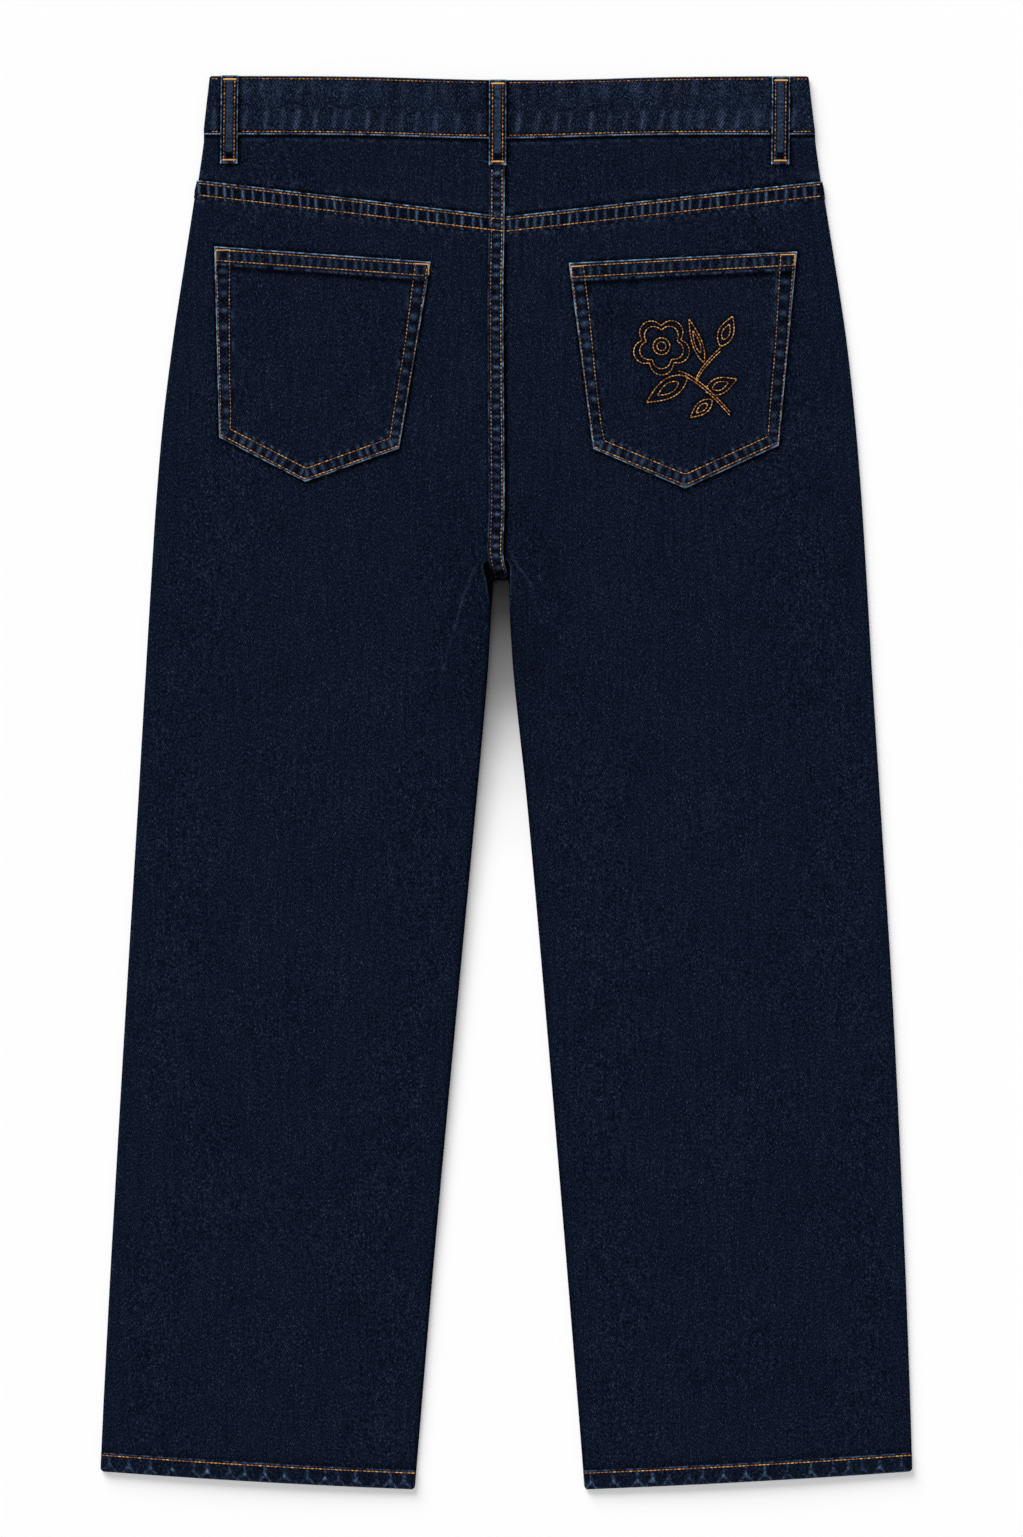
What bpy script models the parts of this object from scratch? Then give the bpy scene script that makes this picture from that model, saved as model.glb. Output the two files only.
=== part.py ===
# Baggy jeans laid out flat with their back side up, made of the pieces that a maker cuts and sews.
# The pattern is written in millimetres: x runs from the centre-back seam towards the wearer's right,
# down runs from the top of the waistband to the hems, and z is the height above the floor.
# The model itself is in metres, with +Y towards the waist and its origin under the middle of the garment.

import math
from collections import namedtuple

import bmesh
import bpy

MM = 0.001

# Thicknesses and clearances
DENIM = 1.2                # one ply of denim with its finish
WAIST_WALL = 2.0           # the waistband is folded double
LOOP_WALL = 1.6            # a belt loop is folded in three and pressed
SEAM_GAP = 0.3             # pieces stand this far apart where they are sewn
SEAM_RAISE = 1.0           # how much a felled seam or a turned hem stands above its panel

# Heights of the cloth that lies on top
SIDE_HEIGHT = 3.6          # at the side seams and the inseams
SEAT_RISE = 1.0            # more than that along the seat seam
LEG_CROWN = 1.2            # more than that in the middle of a leg
SEAT_CROWN = 0.6
WAIST_STEP = 1.2           # how much the waistband stands above the yokes
SIDE_TURN = 2.4            # radius at which the back panels turn down to the floor
SEAT_TURN = 0.8            # radius at the seat seam
SEAT_FADES = (300, 385)    # down this stretch the seat flattens out into the two legs

# Lengths down the garment
YOKE_POINT = 102.4         # where the yoke seam meets the seat seam
YOKE_SLOPE = {"left": 0.119, "right": 0.112}
CROTCH = 366.0             # where the legs part
HEM_AT_SIDE = 1017.5
HEM_AT_INSEAM = 1030.8
HEM_BOW = 0.9              # the hem sags this much between its ends
FRONT_HEM_LIFT = 1.0       # the front hem is drawn up under the back hem
LOOP_TOP = -1.2            # the belt loops reach this far above the waistband
NEAR_CROTCH = 2.0          # rows of points this close to the crotch belong to its corner
FRONT_OPENS = (335, 350)   # down this stretch the front panels draw apart above the crotch
FOOT_DROPS = (350, 360)    # down this stretch the back panels' inner edges reach down to the floor

# Widths of the felled bands
SEAT_BAND = 12.0
YOKE_BAND = 12.8
HEM_BAND = 12.2
BAND_STEP = 0.4            # a band rises to its full height within this width
TURNED_EDGE = 0.8          # a turned edge rounds off within this width
EDGE_DROP = 0.5            # and loses this much height

# The waistband's edges: level at the sides, lower over the small of the back
WAIST_HEIGHT = 42.0
WAIST_DIP = 3.3
WAIST_DIP_REACH = 85.0
CLOSING_X = 23.0           # end of the waistband's overlap on the front
BUTTON_X = 5.2
BUTTON_DOWN = 22.0
BUTTON_RADIUS = 8.5
BUTTON_HEIGHT = 1.7

SideEdge = namedtuple("SideEdge", "down left right")
SIDE_EDGES = (
    SideEdge(0, -209.6, 227.0),
    SideEdge(43, -214.1, 231.4),
    SideEdge(76, -218.6, 236.0),
    SideEdge(134, -227.4, 244.9),
    SideEdge(192, -236.2, 253.7),
    SideEdge(250, -243.5, 260.2),
    SideEdge(309, -248.6, 265.0),
    SideEdge(366, -252.2, 268.6),
    SideEdge(440, -256.6, 272.9),
    SideEdge(528, -261.7, 278.5),
    SideEdge(674, -270.5, 287.6),
    SideEdge(849, -280.7, 296.0),
    SideEdge(966, -286.9, 300.4),
    SideEdge(1018, -289.2, 301.9),
    SideEdge(1032, -289.6, 302.2),
)

SeatSeam = namedtuple("SeatSeam", "down edge")
SEAT_SEAM = (
    SeatSeam(0, 5.3),
    SeatSeam(102, 5.2),
    SeatSeam(155, 4.3),
    SeatSeam(236, 4.7),
    SeatSeam(316, 5.2),
    SeatSeam(344, 4.2),
    SeatSeam(368, 7.8),
)

Inseam = namedtuple("Inseam", "down left right")
INSEAMS = (
    Inseam(340, -3.0, 5.0),
    Inseam(366, -3.3, 8.1),
    Inseam(396, -5.1, 9.3),
    Inseam(440, -7.7, 12.3),
    Inseam(528, -15.5, 21.4),
    Inseam(674, -29.2, 34.5),
    Inseam(849, -45.3, 49.1),
    Inseam(995, -58.0, 61.0),
    Inseam(1031, -61.2, 63.9),
    Inseam(1040, -62.0, 64.6),
)

# Soft folds: a ridge where height is above 0, a trough where it is below 0
Fold = namedtuple("Fold", "side x down to_x to_down width height")
FOLDS = (
    Fold("left", -14, 362, -31, 402, 8, -1.1),
    Fold("left", -31, 402, -46, 486, 10, -0.7),
    Fold("left", -4, 380, -20, 440, 13, 0.5),
    Fold("left", -52, 392, -76, 462, 22, 0.5),
    Fold("left", -232, 470, -140, 520, 34, 0.35),
    Fold("left", -75, 640, -215, 700, 30, 0.4),
    Fold("left", -250, 790, -120, 850, 38, -0.45),
    Fold("left", -80, 930, -210, 900, 30, 0.35),
    Fold("right", 15, 360, 31, 392, 8, -1.1),
    Fold("right", 31, 392, 47, 452, 11, -0.6),
    Fold("right", 52, 372, 74, 440, 22, 0.5),
    Fold("right", 248, 500, 150, 545, 34, 0.35),
    Fold("right", 80, 610, 190, 668, 28, -0.4),
    Fold("right", 262, 720, 120, 800, 36, 0.45),
    Fold("right", 100, 950, 250, 905, 32, 0.35),
)

# Places along the seat seam and the inseam where a row of points crosses a leg
LEG_ROWS = (
    142, 172, 202, 232, 262, 290, 315, 335, 350, 360, 365.4, 367, 376, 386, 396,
    408, 422, 440, 462, 488, 520, 560, 610, 660, 710, 765, 820, 875, 925, 975,
)
YOKE_ROWS = (0, 0.25, 0.5, 0.75, 1)
ACROSS_BACK = (0.14, 0.28, 0.42, 0.54, 0.65, 0.74, 0.81, 0.87, 0.93, 1)
ACROSS_FRONT = (0, 0.25, 0.5, 0.75, 1)

# The waistband's rows of points, from its upper fold to its lower one, and its columns
WAIST_ROWS = (0, 0.02, 0.5, 0.98, 1)
ACROSS_WAIST_FRONT = (0, 0.35, 0.7, 1)
WAIST_COLUMNS = 24
WAIST_ARC = (-90, -45, 0, 45, 90)   # degrees round the fold at each side

Pocket = namedtuple("Pocket", "name top_left top_right low_right point low_left")
POCKETS = (
    Pocket("pocket_left", (-206.9, 123.9), (-48.8, 135.3), (-72.0, 271.6), (-140.5, 295.9), (-203.3, 263.5)),
    Pocket("pocket_right", (51.8, 136.1), (218.6, 127.6), (205.1, 269.4), (136.7, 300.8), (69.6, 271.8)),
)
POCKET_HEM = 10.5
POCKET_COLUMNS = 4         # on each side of its point
POCKET_ROWS = 5            # below its hem
SMOOTH_ANGLE = 40          # degrees: sharper edges stay crisp

Loop = namedtuple("Loop", "name x width top bottom rests_on")
BELT_LOOPS = (
    Loop("belt_loop_left", -195.8, 12.8, LOOP_TOP, 63.6, 0.0),
    Loop("belt_loop_centre", 0.0, 12.8, 1.8, 65.0, SEAM_RAISE),
    Loop("belt_loop_right", 206.8, 13.4, -0.3, 64.1, 0.0),
)
LOOP_ARCH = 0.5            # a loop stands this much proud between its ends
LOOP_SETTLES = 9.0         # it comes down to the yoke within this distance of the waistband
LOOP_ROWS = 5

Finish = namedtuple("Finish", "name colour roughness metallic")
LEG_DENIM = Finish("leg_denim", (0.0060, 0.0095, 0.0220), 0.88, 0.0)
YOKE_DENIM = Finish("yoke_denim", (0.0065, 0.0105, 0.0240), 0.88, 0.0)
POCKET_DENIM = Finish("pocket_denim", (0.0070, 0.0110, 0.0250), 0.86, 0.0)
WAIST_DENIM = Finish("waist_denim", (0.0090, 0.0130, 0.0280), 0.86, 0.0)
LOOP_DENIM = Finish("loop_denim", (0.0120, 0.0190, 0.0400), 0.84, 0.0)
COPPER = Finish("button_copper", (0.4200, 0.2000, 0.0900), 0.35, 1.0)

MIDDLE_X = (SIDE_EDGES[-2].left + SIDE_EDGES[-2].right) / 2
MIDDLE_DOWN = (LOOP_TOP + HEM_AT_INSEAM) / 2


def inward(side):
    """The direction along x from a side seam to the middle of the garment."""
    return 1 if side == "left" else -1


def mix(start, end, share):
    return start + (end - start) * share


def ease(start, end, value):
    """0 before start, 1 after end, and a smooth rise between them."""
    share = min(max((value - start) / (end - start), 0), 1)
    return share * share * (3 - 2 * share)


def ramp(start, end, value):
    return min(max((value - start) / (end - start), 0), 1)


def read_table(table, column, down):
    """A table's column at any distance down, along a smooth curve through its rows."""
    downs = [row.down for row in table]
    values = [getattr(row, column) for row in table]
    last = len(table) - 1

    def slope(index):
        before, after = max(index - 1, 0), min(index + 1, last)
        return (values[after] - values[before]) / (downs[after] - downs[before])

    index = min(max(sum(place <= down for place in downs) - 1, 0), last - 1)
    span = downs[index + 1] - downs[index]
    share = min(max((down - downs[index]) / span, 0), 1)
    square, cube = share ** 2, share ** 3
    return (
        (2 * cube - 3 * square + 1) * values[index]
        + (cube - 2 * square + share) * span * slope(index)
        + (3 * square - 2 * cube) * values[index + 1]
        + (cube - square) * span * slope(index + 1)
    )


def side_edge(side, down):
    return read_table(SIDE_EDGES, side, down)


def inner_edge(side, down):
    """The seat seam's edge above the crotch, and the inseam below it."""
    if down < CROTCH:
        return read_table(SEAT_SEAM, "edge", down) + (0 if side == "left" else SEAM_GAP)
    return read_table(INSEAMS, side, down)


def waist_dip(x):
    return WAIST_DIP * math.exp(-((x / WAIST_DIP_REACH) ** 2))


def waist_top(x):
    return waist_dip(x)


def waist_bottom(x):
    return WAIST_HEIGHT + waist_dip(x)


def yoke_line(side, x):
    """The upper edge of a back leg: the two edges make a wide V over the seat."""
    return YOKE_POINT - YOKE_SLOPE[side] * max(inward(side) * (SEAT_SEAM[1].edge - x), 0)


def hem_line(side, x):
    side_x, inseam_x = side_edge(side, HEM_AT_SIDE), inner_edge(side, HEM_AT_INSEAM)
    share = (x - side_x) / (inseam_x - side_x)
    return mix(HEM_AT_SIDE, HEM_AT_INSEAM, share) + 4 * HEM_BOW * share * (1 - share)


def fold_height(side, x, down):
    total = 0
    for fold in FOLDS:
        if fold.side != side:
            continue
        run_x, run_down = fold.to_x - fold.x, fold.to_down - fold.down
        along = ((x - fold.x) * run_x + (down - fold.down) * run_down) / (run_x ** 2 + run_down ** 2)
        along = min(max(along, 0), 1)
        off = math.hypot(x - fold.x - run_x * along, down - fold.down - run_down * along)
        total += fold.height * math.exp(-((off / fold.width) ** 2))
    return total


def cloth_height(x, down):
    """The height of the upper cloth, without its felled bands."""
    side = "left" if x < inner_edge("left", min(down, CROTCH - 1)) else "right"
    seat = 1 - ease(*SEAT_FADES, down)
    middle = mix(read_table(INSEAMS, side, max(down, INSEAMS[0].down)), SEAT_SEAM[1].edge, seat)
    start = side_edge(side, down)
    across = min(max((x - start) / (middle - start), 0), 1)
    crown = mix(LEG_CROWN, SEAT_CROWN, seat) * math.sin(math.pi * across)
    return SIDE_HEIGHT + seat * SEAT_RISE * ease(0, 1, across) + crown + fold_height(side, x, down)


def waist_height(x):
    return cloth_height(x, WAIST_HEIGHT) + WAIST_STEP


def place(x, down, z):
    """A point of the pattern as a place in the model."""
    return ((x - MIDDLE_X) * MM, (MIDDLE_DOWN - down) * MM, z * MM)


def give_finish(piece, finish):
    material = bpy.data.materials.get(finish.name) or bpy.data.materials.new(finish.name)
    material.use_nodes = True
    shader = material.node_tree.nodes["Principled BSDF"]
    shader.inputs["Base Color"].default_value = (*finish.colour, 1)
    shader.inputs["Roughness"].default_value = finish.roughness
    shader.inputs["Metallic"].default_value = finish.metallic
    material.diffuse_color = (*finish.colour, 1)
    piece.data.materials.append(material)


def add_piece(name, shape, finish):
    bmesh.ops.recalc_face_normals(shape, faces=shape.faces)
    mesh = bpy.data.meshes.new(name)
    shape.to_mesh(mesh)
    shape.free()
    mesh.shade_smooth()
    mesh.set_sharp_from_angle(angle=math.radians(SMOOTH_ANGLE))
    piece = bpy.data.objects.new(name, mesh)
    jeans.objects.link(piece)
    give_finish(piece, finish)
    return piece


def add_wall(name, outside, inside, finish):
    """A cloth wall between two matched grids of points, closed all round its border."""
    shape = bmesh.new()
    skins = [[[shape.verts.new(place(*point)) for point in row] for row in grid] for grid in (outside, inside)]
    rows, across = len(outside), len(outside[0])
    for skin in skins:
        for row in range(rows - 1):
            for column in range(across - 1):
                corners = [skin[row][column], skin[row + 1][column]]
                corners += [skin[row + 1][column + 1], skin[row][column + 1]]
                shape.faces.new(corners)
    border = [(0, column) for column in range(across - 1)]
    border += [(row, across - 1) for row in range(rows - 1)]
    border += [(rows - 1, column) for column in range(across - 1, 0, -1)]
    border += [(row, 0) for row in range(rows - 1, 0, -1)]
    for start, end in zip(border, border[1:] + border[:1]):
        over, under = skins
        shape.faces.new([over[start[0]][start[1]], over[end[0]][end[1]],
                         under[end[0]][end[1]], under[start[0]][start[1]]])
    return add_piece(name, shape, finish)


Row = namedtuple("Row", "down_at raised")


def row_between(upper, lower, share, raised=False):
    return Row(lambda x: mix(upper(x), lower(x), share), raised)


def yoke_panel_rows(side):
    def upper(x):
        return waist_bottom(x) + SEAM_GAP

    def lower(x):
        return yoke_line(side, x) - SEAM_GAP

    return [row_between(upper, lower, share) for share in YOKE_ROWS]


def leg_panel_rows(side, shift=0):
    """Rows from the yoke seam to the hem. shift moves the rows at the crotch, for the cloth's inside."""
    def upper(x):
        return yoke_line(side, x)

    def lower(x):
        return hem_line(side, x)

    def from_edge(edge, offset, raised):
        return Row(lambda x: edge(x) + offset, raised)

    rows = [from_edge(upper, 0, True), from_edge(upper, YOKE_BAND, True)]
    rows.append(from_edge(upper, YOKE_BAND + BAND_STEP, False))
    for down in LEG_ROWS:
        x = inner_edge(side, down)
        share = (down - upper(x)) / (lower(x) - upper(x))
        moved = shift / (lower(x) - upper(x)) if abs(down - CROTCH) < NEAR_CROTCH else 0
        rows.append(row_between(upper, lower, share - moved))
    rows.append(from_edge(lower, -HEM_BAND - BAND_STEP, False))
    rows += [from_edge(lower, -HEM_BAND, True), from_edge(lower, 0, True)]
    return rows


def edge_crossing(row, edge):
    """Where a row meets an edge that moves with the distance down, found in a few steps."""
    x = edge(CROTCH)
    for _ in range(6):
        x = edge(row.down_at(x))
    return x


def turned_edge(x, direction, foot, top, radius):
    """Four points from the foot of an edge to the top of its turn, as (x, z)."""
    diagonal = radius * (1 - math.sqrt(0.5))
    return [
        (x, foot),
        (x, top - radius),
        (x + direction * diagonal, top - diagonal),
        (x + direction * radius, top),
    ]


def panel_section(side, row, depth, crotch_shift=0):
    """One row of points across a back panel, depth below the cloth's face: 0 is the face itself."""
    direction = inward(side)
    side_x = edge_crossing(row, lambda down: side_edge(side, down))
    inner_x = edge_crossing(row, lambda down: inner_edge(side, down + crotch_shift))
    inner_down = row.down_at(inner_x)
    above_crotch = inner_down + crotch_shift < CROTCH
    inner_turn = SEAT_TURN if above_crotch else SIDE_TURN
    foot = (DENIM + SEAM_GAP) * (1 - ramp(*FOOT_DROPS, inner_down + crotch_shift))
    row_raise = SEAM_RAISE if row.raised and depth == 0 else 0
    felled = depth == 0 and side == "left" and above_crotch
    seat_raise = SEAM_RAISE if felled else row_raise

    def top(x, raised):
        return cloth_height(x, row.down_at(x)) - depth + raised

    side_start = side_x + direction * depth
    inner_start = inner_x - direction * depth
    side_radius = SIDE_TURN - depth
    inner_radius = max(inner_turn - depth, SEAM_GAP)
    section = turned_edge(side_start, direction, 0, top(side_x + direction * SIDE_TURN, row_raise), side_radius)
    first = section[-1][0]
    last = inner_x - direction * (SEAT_BAND + BAND_STEP)
    for share in ACROSS_BACK:
        x = mix(first, last, share)
        section.append((x, top(x, row_raise)))
    band_x = inner_x - direction * SEAT_BAND
    section.append((band_x, top(band_x, seat_raise)))
    inner_top = top(inner_x - direction * inner_turn, seat_raise)
    section += reversed(turned_edge(inner_start, -direction, foot, inner_top, inner_radius))
    return [(x, row.down_at(x), z) for x, z in section]


def add_back_panel(name, side, rows, inside_rows, crotch_shift, finish):
    outside = [panel_section(side, row, 0) for row in rows]
    inside = [panel_section(side, row, DENIM, crotch_shift) for row in inside_rows]
    return add_wall(name, outside, inside, finish)


def add_yoke(side):
    rows = yoke_panel_rows(side)
    return add_back_panel(f"yoke_{side}", side, rows, rows, 0, YOKE_DENIM)


def add_back_leg(side):
    inside_rows = leg_panel_rows(side, DENIM)
    return add_back_panel(f"back_leg_{side}", side, leg_panel_rows(side), inside_rows, DENIM, LEG_DENIM)


def add_front_leg(side):
    """The front lies flat on the floor, inside the edges of the back."""
    direction = inward(side)
    shift = DENIM + SEAM_GAP
    rows = yoke_panel_rows(side)[:-1] + leg_panel_rows(side, shift)
    faces = {DENIM: [], 0: []}
    for index, row in enumerate(rows):
        lift = FRONT_HEM_LIFT if index == len(rows) - 1 else 0
        side_x = edge_crossing(row, lambda down: side_edge(side, down))
        inner_x = edge_crossing(row, lambda down: inner_edge(side, down + shift))
        drawn_in = shift * ramp(*FRONT_OPENS, row.down_at(inner_x) + shift)
        start, end = side_x + direction * shift, inner_x - direction * drawn_in
        for z, grid in faces.items():
            points = [mix(start, end, share) for share in ACROSS_FRONT]
            grid.append([(x, row.down_at(x) - lift, z) for x in points])
    return add_wall(f"front_leg_{side}", faces[DENIM], faces[0], LEG_DENIM)


def waistband_section(share, depth):
    """One turn of the waistband, from its closing edge round by the left side and back to it."""
    def down_at(x):
        return mix(waist_top(x), waist_bottom(x), share)

    ends = {side: side_edge(side, down_at(side_edge(side, 0))) for side in ("left", "right")}
    half = {side: waist_height(ends[side] + inward(side) * SIDE_TURN) / 2 for side in ends}
    turn_x = {side: ends[side] + inward(side) * half[side] for side in ends}
    arc = [math.radians(angle) for angle in WAIST_ARC]

    def side_arc(side):
        radius = half[side] - depth
        reach = -inward(side) * radius
        return [(turn_x[side] + reach * math.cos(a), half[side] + radius * math.sin(a)) for a in arc]

    start, end = CLOSING_X - SEAM_GAP / 2, CLOSING_X + SEAM_GAP / 2
    left_front = [(mix(start, turn_x["left"], part), depth) for part in ACROSS_WAIST_FRONT[:-1]]
    right_front = [(mix(turn_x["right"], end, part), depth) for part in ACROSS_WAIST_FRONT[1:]]
    back = []
    for column in range(1, WAIST_COLUMNS):
        x = mix(turn_x["left"], turn_x["right"], column / WAIST_COLUMNS)
        back.append((x, waist_height(x) - depth))
    section = left_front + side_arc("left") + back + side_arc("right")[::-1] + right_front
    return [(x, down_at(x), z) for x, z in section]


def add_waistband():
    outside = [waistband_section(share, EDGE_DROP if share in (0, 1) else 0) for share in WAIST_ROWS]
    inside = [waistband_section(share, WAIST_WALL) for share in WAIST_ROWS]
    return add_wall("waistband", outside, inside, WAIST_DENIM)


def add_disc(name, radius, height, finish):
    shape = bmesh.new()
    bmesh.ops.create_cone(shape, cap_ends=True, segments=32, radius1=radius * MM, radius2=radius * MM,
                          depth=height * MM)
    return add_piece(name, shape, finish)


def add_waist_button(waistband):
    """A button flush with the front of the waistband, in a hole that is a seam's gap wider."""
    button = add_disc("waist_button", BUTTON_RADIUS, BUTTON_HEIGHT, COPPER)
    button.location = place(BUTTON_X, BUTTON_DOWN, BUTTON_HEIGHT / 2)
    hole = add_disc("button_hole", BUTTON_RADIUS + SEAM_GAP, WAIST_WALL + 2 * SEAM_GAP, COPPER)
    hole.location = place(BUTTON_X, BUTTON_DOWN, WAIST_WALL / 2)
    hole.hide_render = True
    hole.display_type = "WIRE"
    jeans.objects.unlink(hole)
    cutters.objects.link(hole)
    cut = waistband.modifiers.new("button_hole", "BOOLEAN")
    cut.operation = "DIFFERENCE"
    cut.object = hole


def mix_points(start, end, share):
    return tuple(mix(a, b, share) for a, b in zip(start, end))


def add_pocket(pocket):
    """A patch on a back leg: five corners, a turned hem at the top and a point at the bottom."""
    width = math.dist(pocket.top_left, pocket.top_right)
    depth = math.dist(pocket.top_left, pocket.low_left)
    tip_share = (pocket.point[0] - pocket.low_left[0]) / (pocket.low_right[0] - pocket.low_left[0])
    rim = TURNED_EDGE / width
    steps = range(1, POCKET_COLUMNS)
    across = [0, rim] + [tip_share * step / POCKET_COLUMNS for step in steps] + [tip_share]
    across += [mix(tip_share, 1, step / POCKET_COLUMNS) for step in steps] + [1 - rim, 1]
    rim = TURNED_EDGE / depth
    hem = POCKET_HEM / depth
    downs = [0, rim, hem, hem + BAND_STEP / depth]
    downs += [mix(hem, 1, step / POCKET_ROWS) for step in range(1, POCKET_ROWS)] + [1 - rim, 1]

    def low_edge(share):
        if share <= tip_share:
            return mix_points(pocket.low_left, pocket.point, share / tip_share)
        return mix_points(pocket.point, pocket.low_right, (share - tip_share) / (1 - tip_share))

    outside, inside = [], []
    for down_share in downs:
        outside.append([])
        inside.append([])
        for share in across:
            top_point = mix_points(pocket.top_left, pocket.top_right, share)
            x, down = mix_points(top_point, low_edge(share), down_share)
            base = cloth_height(x, down) + SEAM_GAP
            raised = SEAM_RAISE if down_share <= hem else 0
            on_rim = down_share in (0, 1) or share in (0, 1)
            outside[-1].append((x, down, base + DENIM + raised - (EDGE_DROP if on_rim else 0)))
            inside[-1].append((x, down, base))
    return add_wall(pocket.name, outside, inside, POCKET_DENIM)


def add_belt_loop(loop):
    """A strip that lies over the waistband and down onto the yoke, with room for a belt."""
    over_band = waist_bottom(loop.x) + SEAM_GAP
    settled = over_band + LOOP_SETTLES
    first, last = loop.top + TURNED_EDGE, loop.bottom - TURNED_EDGE
    downs = [loop.top, first]
    downs += [mix(first, over_band, step / LOOP_ROWS) for step in range(1, LOOP_ROWS + 1)]
    downs += [mix(over_band, settled, 0.5), settled, mix(settled, last, 0.5), last, loop.bottom]
    half = loop.width / 2
    outside, inside = [], []
    for down in downs:
        sink = (WAIST_STEP - loop.rests_on) * ramp(over_band, settled, down)
        share = ramp(loop.top, loop.bottom, down)
        arch = LOOP_ARCH * math.sin(math.pi * share)
        base = waist_height(loop.x) - sink + SEAM_GAP + arch
        end = down in (downs[0], downs[-1])
        outside.append([])
        inside.append([])
        for across in (-half, -half + TURNED_EDGE, half - TURNED_EDGE, half):
            rim = end or abs(across) == half
            outside[-1].append((loop.x + across, down, base + LOOP_WALL - (EDGE_DROP if rim else 0)))
            inside[-1].append((loop.x + across, down, base))
    return add_wall(loop.name, outside, inside, LOOP_DENIM)


for leftover in list(bpy.data.objects):
    bpy.data.objects.remove(leftover, do_unlink=True)
jeans = bpy.data.collections.new("baggy_jeans")
cutters = bpy.data.collections.new("cutters")
for collection in (jeans, cutters):
    bpy.context.scene.collection.children.link(collection)

for wearer_side in ("left", "right"):
    add_front_leg(wearer_side)
    add_back_leg(wearer_side)
    add_yoke(wearer_side)
add_waist_button(add_waistband())
for pocket_row in POCKETS:
    add_pocket(pocket_row)
for loop_row in BELT_LOOPS:
    add_belt_loop(loop_row)
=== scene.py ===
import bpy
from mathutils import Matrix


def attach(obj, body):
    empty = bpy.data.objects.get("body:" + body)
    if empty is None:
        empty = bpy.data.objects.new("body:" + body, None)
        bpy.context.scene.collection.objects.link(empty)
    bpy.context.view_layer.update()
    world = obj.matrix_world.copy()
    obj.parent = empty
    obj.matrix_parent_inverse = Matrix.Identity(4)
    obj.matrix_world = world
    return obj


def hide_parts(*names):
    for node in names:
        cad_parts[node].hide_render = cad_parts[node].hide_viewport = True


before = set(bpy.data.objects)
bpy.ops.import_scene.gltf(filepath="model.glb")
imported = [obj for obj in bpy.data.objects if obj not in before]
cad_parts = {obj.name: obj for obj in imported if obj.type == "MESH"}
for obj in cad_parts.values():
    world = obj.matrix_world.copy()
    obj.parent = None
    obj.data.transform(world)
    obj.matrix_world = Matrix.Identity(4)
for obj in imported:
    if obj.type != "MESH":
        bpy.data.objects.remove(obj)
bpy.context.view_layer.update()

import math
import random
from functools import partial

import bmesh
import bpy
import numpy as np
from mathutils import Vector
from mathutils.bvhtree import BVHTree
from mathutils.kdtree import KDTree

print("frame loaded:", len(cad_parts), "nodes")

# The jeans are drawn as a flat pattern in millimetres: x from the centre-back seam towards the
# wearer's right, down from the top of the waistband, z up from the floor.
pattern = {
    "middleX": 6.35,          # where the frame's origin lies in the pattern
    "middleDown": 514.8,
    "halvesMeet": 5.2,        # the line between the left and the right half
    "sideHeight": 3.6,        # cloth height at the side seams and inseams
    "seatRise": 1.0,
    "legCrown": 1.2,
    "seatCrown": 0.6,
    "seatFades": (300, 385),
    "waistStep": 1.2,         # the waistband stands this much above the yokes
    "turn": 2.4,              # radius of the folded side edges
    "wallFoot": 0.12,         # the folded edges hang down to this height
    "crotch": 366.0,
    "slitTop": 353.0,         # the legs' inner folds open here, beside the seat seam
    "waistHeight": 42.0,
    "waistDip": 3.0,
    "waistDipReach": 80.0,
    "yokePoint": 102.4,
    "yokeSlope": {"left": 0.119, "right": 0.112},
    "hemAtSide": 1018.1,
    "hemAtInseam": 1031.3,
    "hemBow": 0.9,
}
sideEdges = {
    "down": [0, 43, 76, 134, 192, 250, 309, 366, 440, 528, 674, 849, 966, 1018, 1032],
    "left": [-209.6, -214.1, -218.6, -227.4, -236.2, -243.5, -248.6, -252.2, -256.6, -261.7,
             -270.5, -280.7, -286.9, -289.2, -289.6],
    "right": [227.0, 231.4, 236.0, 244.9, 253.7, 260.2, 265.0, 268.6, 272.9, 278.5,
              287.6, 296.0, 300.4, 301.9, 302.2],
}
outset = {                     # how far the cloth's roll stands out past the side edges
    "down": [0, 20, 38, 43, 47, 75, 82, 90, 150, 250, 1040],
    "left": [0.7, 1.1, 1.2, 0.6, 0.1, 0.2, 1.1, 1.1, 1.1, 0.85, 1.0],
    "right": [0.0, 0.3, 0.7, 0.5, 0.1, 0.0, 0.7, 0.8, 1.1, 0.8, 0.9],
}
seatBand = {                   # both edges of the felled seat seam
    "down": [0, 102, 155, 236, 316, 344, 354, 363, 368],
    "left": [-6.6, -6.6, -7.4, -7.2, -6.7, -7.7, -6.6, -3.7, -3.2],
    "right": [5.3, 5.2, 4.3, 4.7, 5.2, 4.2, 4.8, 7.3, 7.8],
}
inseams = {
    "down": [340, 366, 396, 440, 528, 674, 849, 995, 1031, 1040],
    "left": [-3.0, -3.3, -5.1, -7.7, -15.5, -29.2, -45.3, -57.6, -60.6, -61.4],
    "right": [5.0, 8.1, 9.0, 11.9, 21.2, 34.2, 48.8, 60.6, 63.4, 64.1],
}
innerFolds = {                 # where the upper cloth folds under beside the crotch
    "down": [340, 353, 355, 357.5, 361, 366, 374.5, 384, 396, 420],
    "left": [-7.6, -7.8, -9.9, -10.6, -10.0, -8.6, -6.9, -5.3, -5.1, -6.4],
    "right": [6.4, 6.6, 8.0, 8.8, 9.0, 9.0, 8.9, 8.9, 9.0, 10.4],
}
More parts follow.
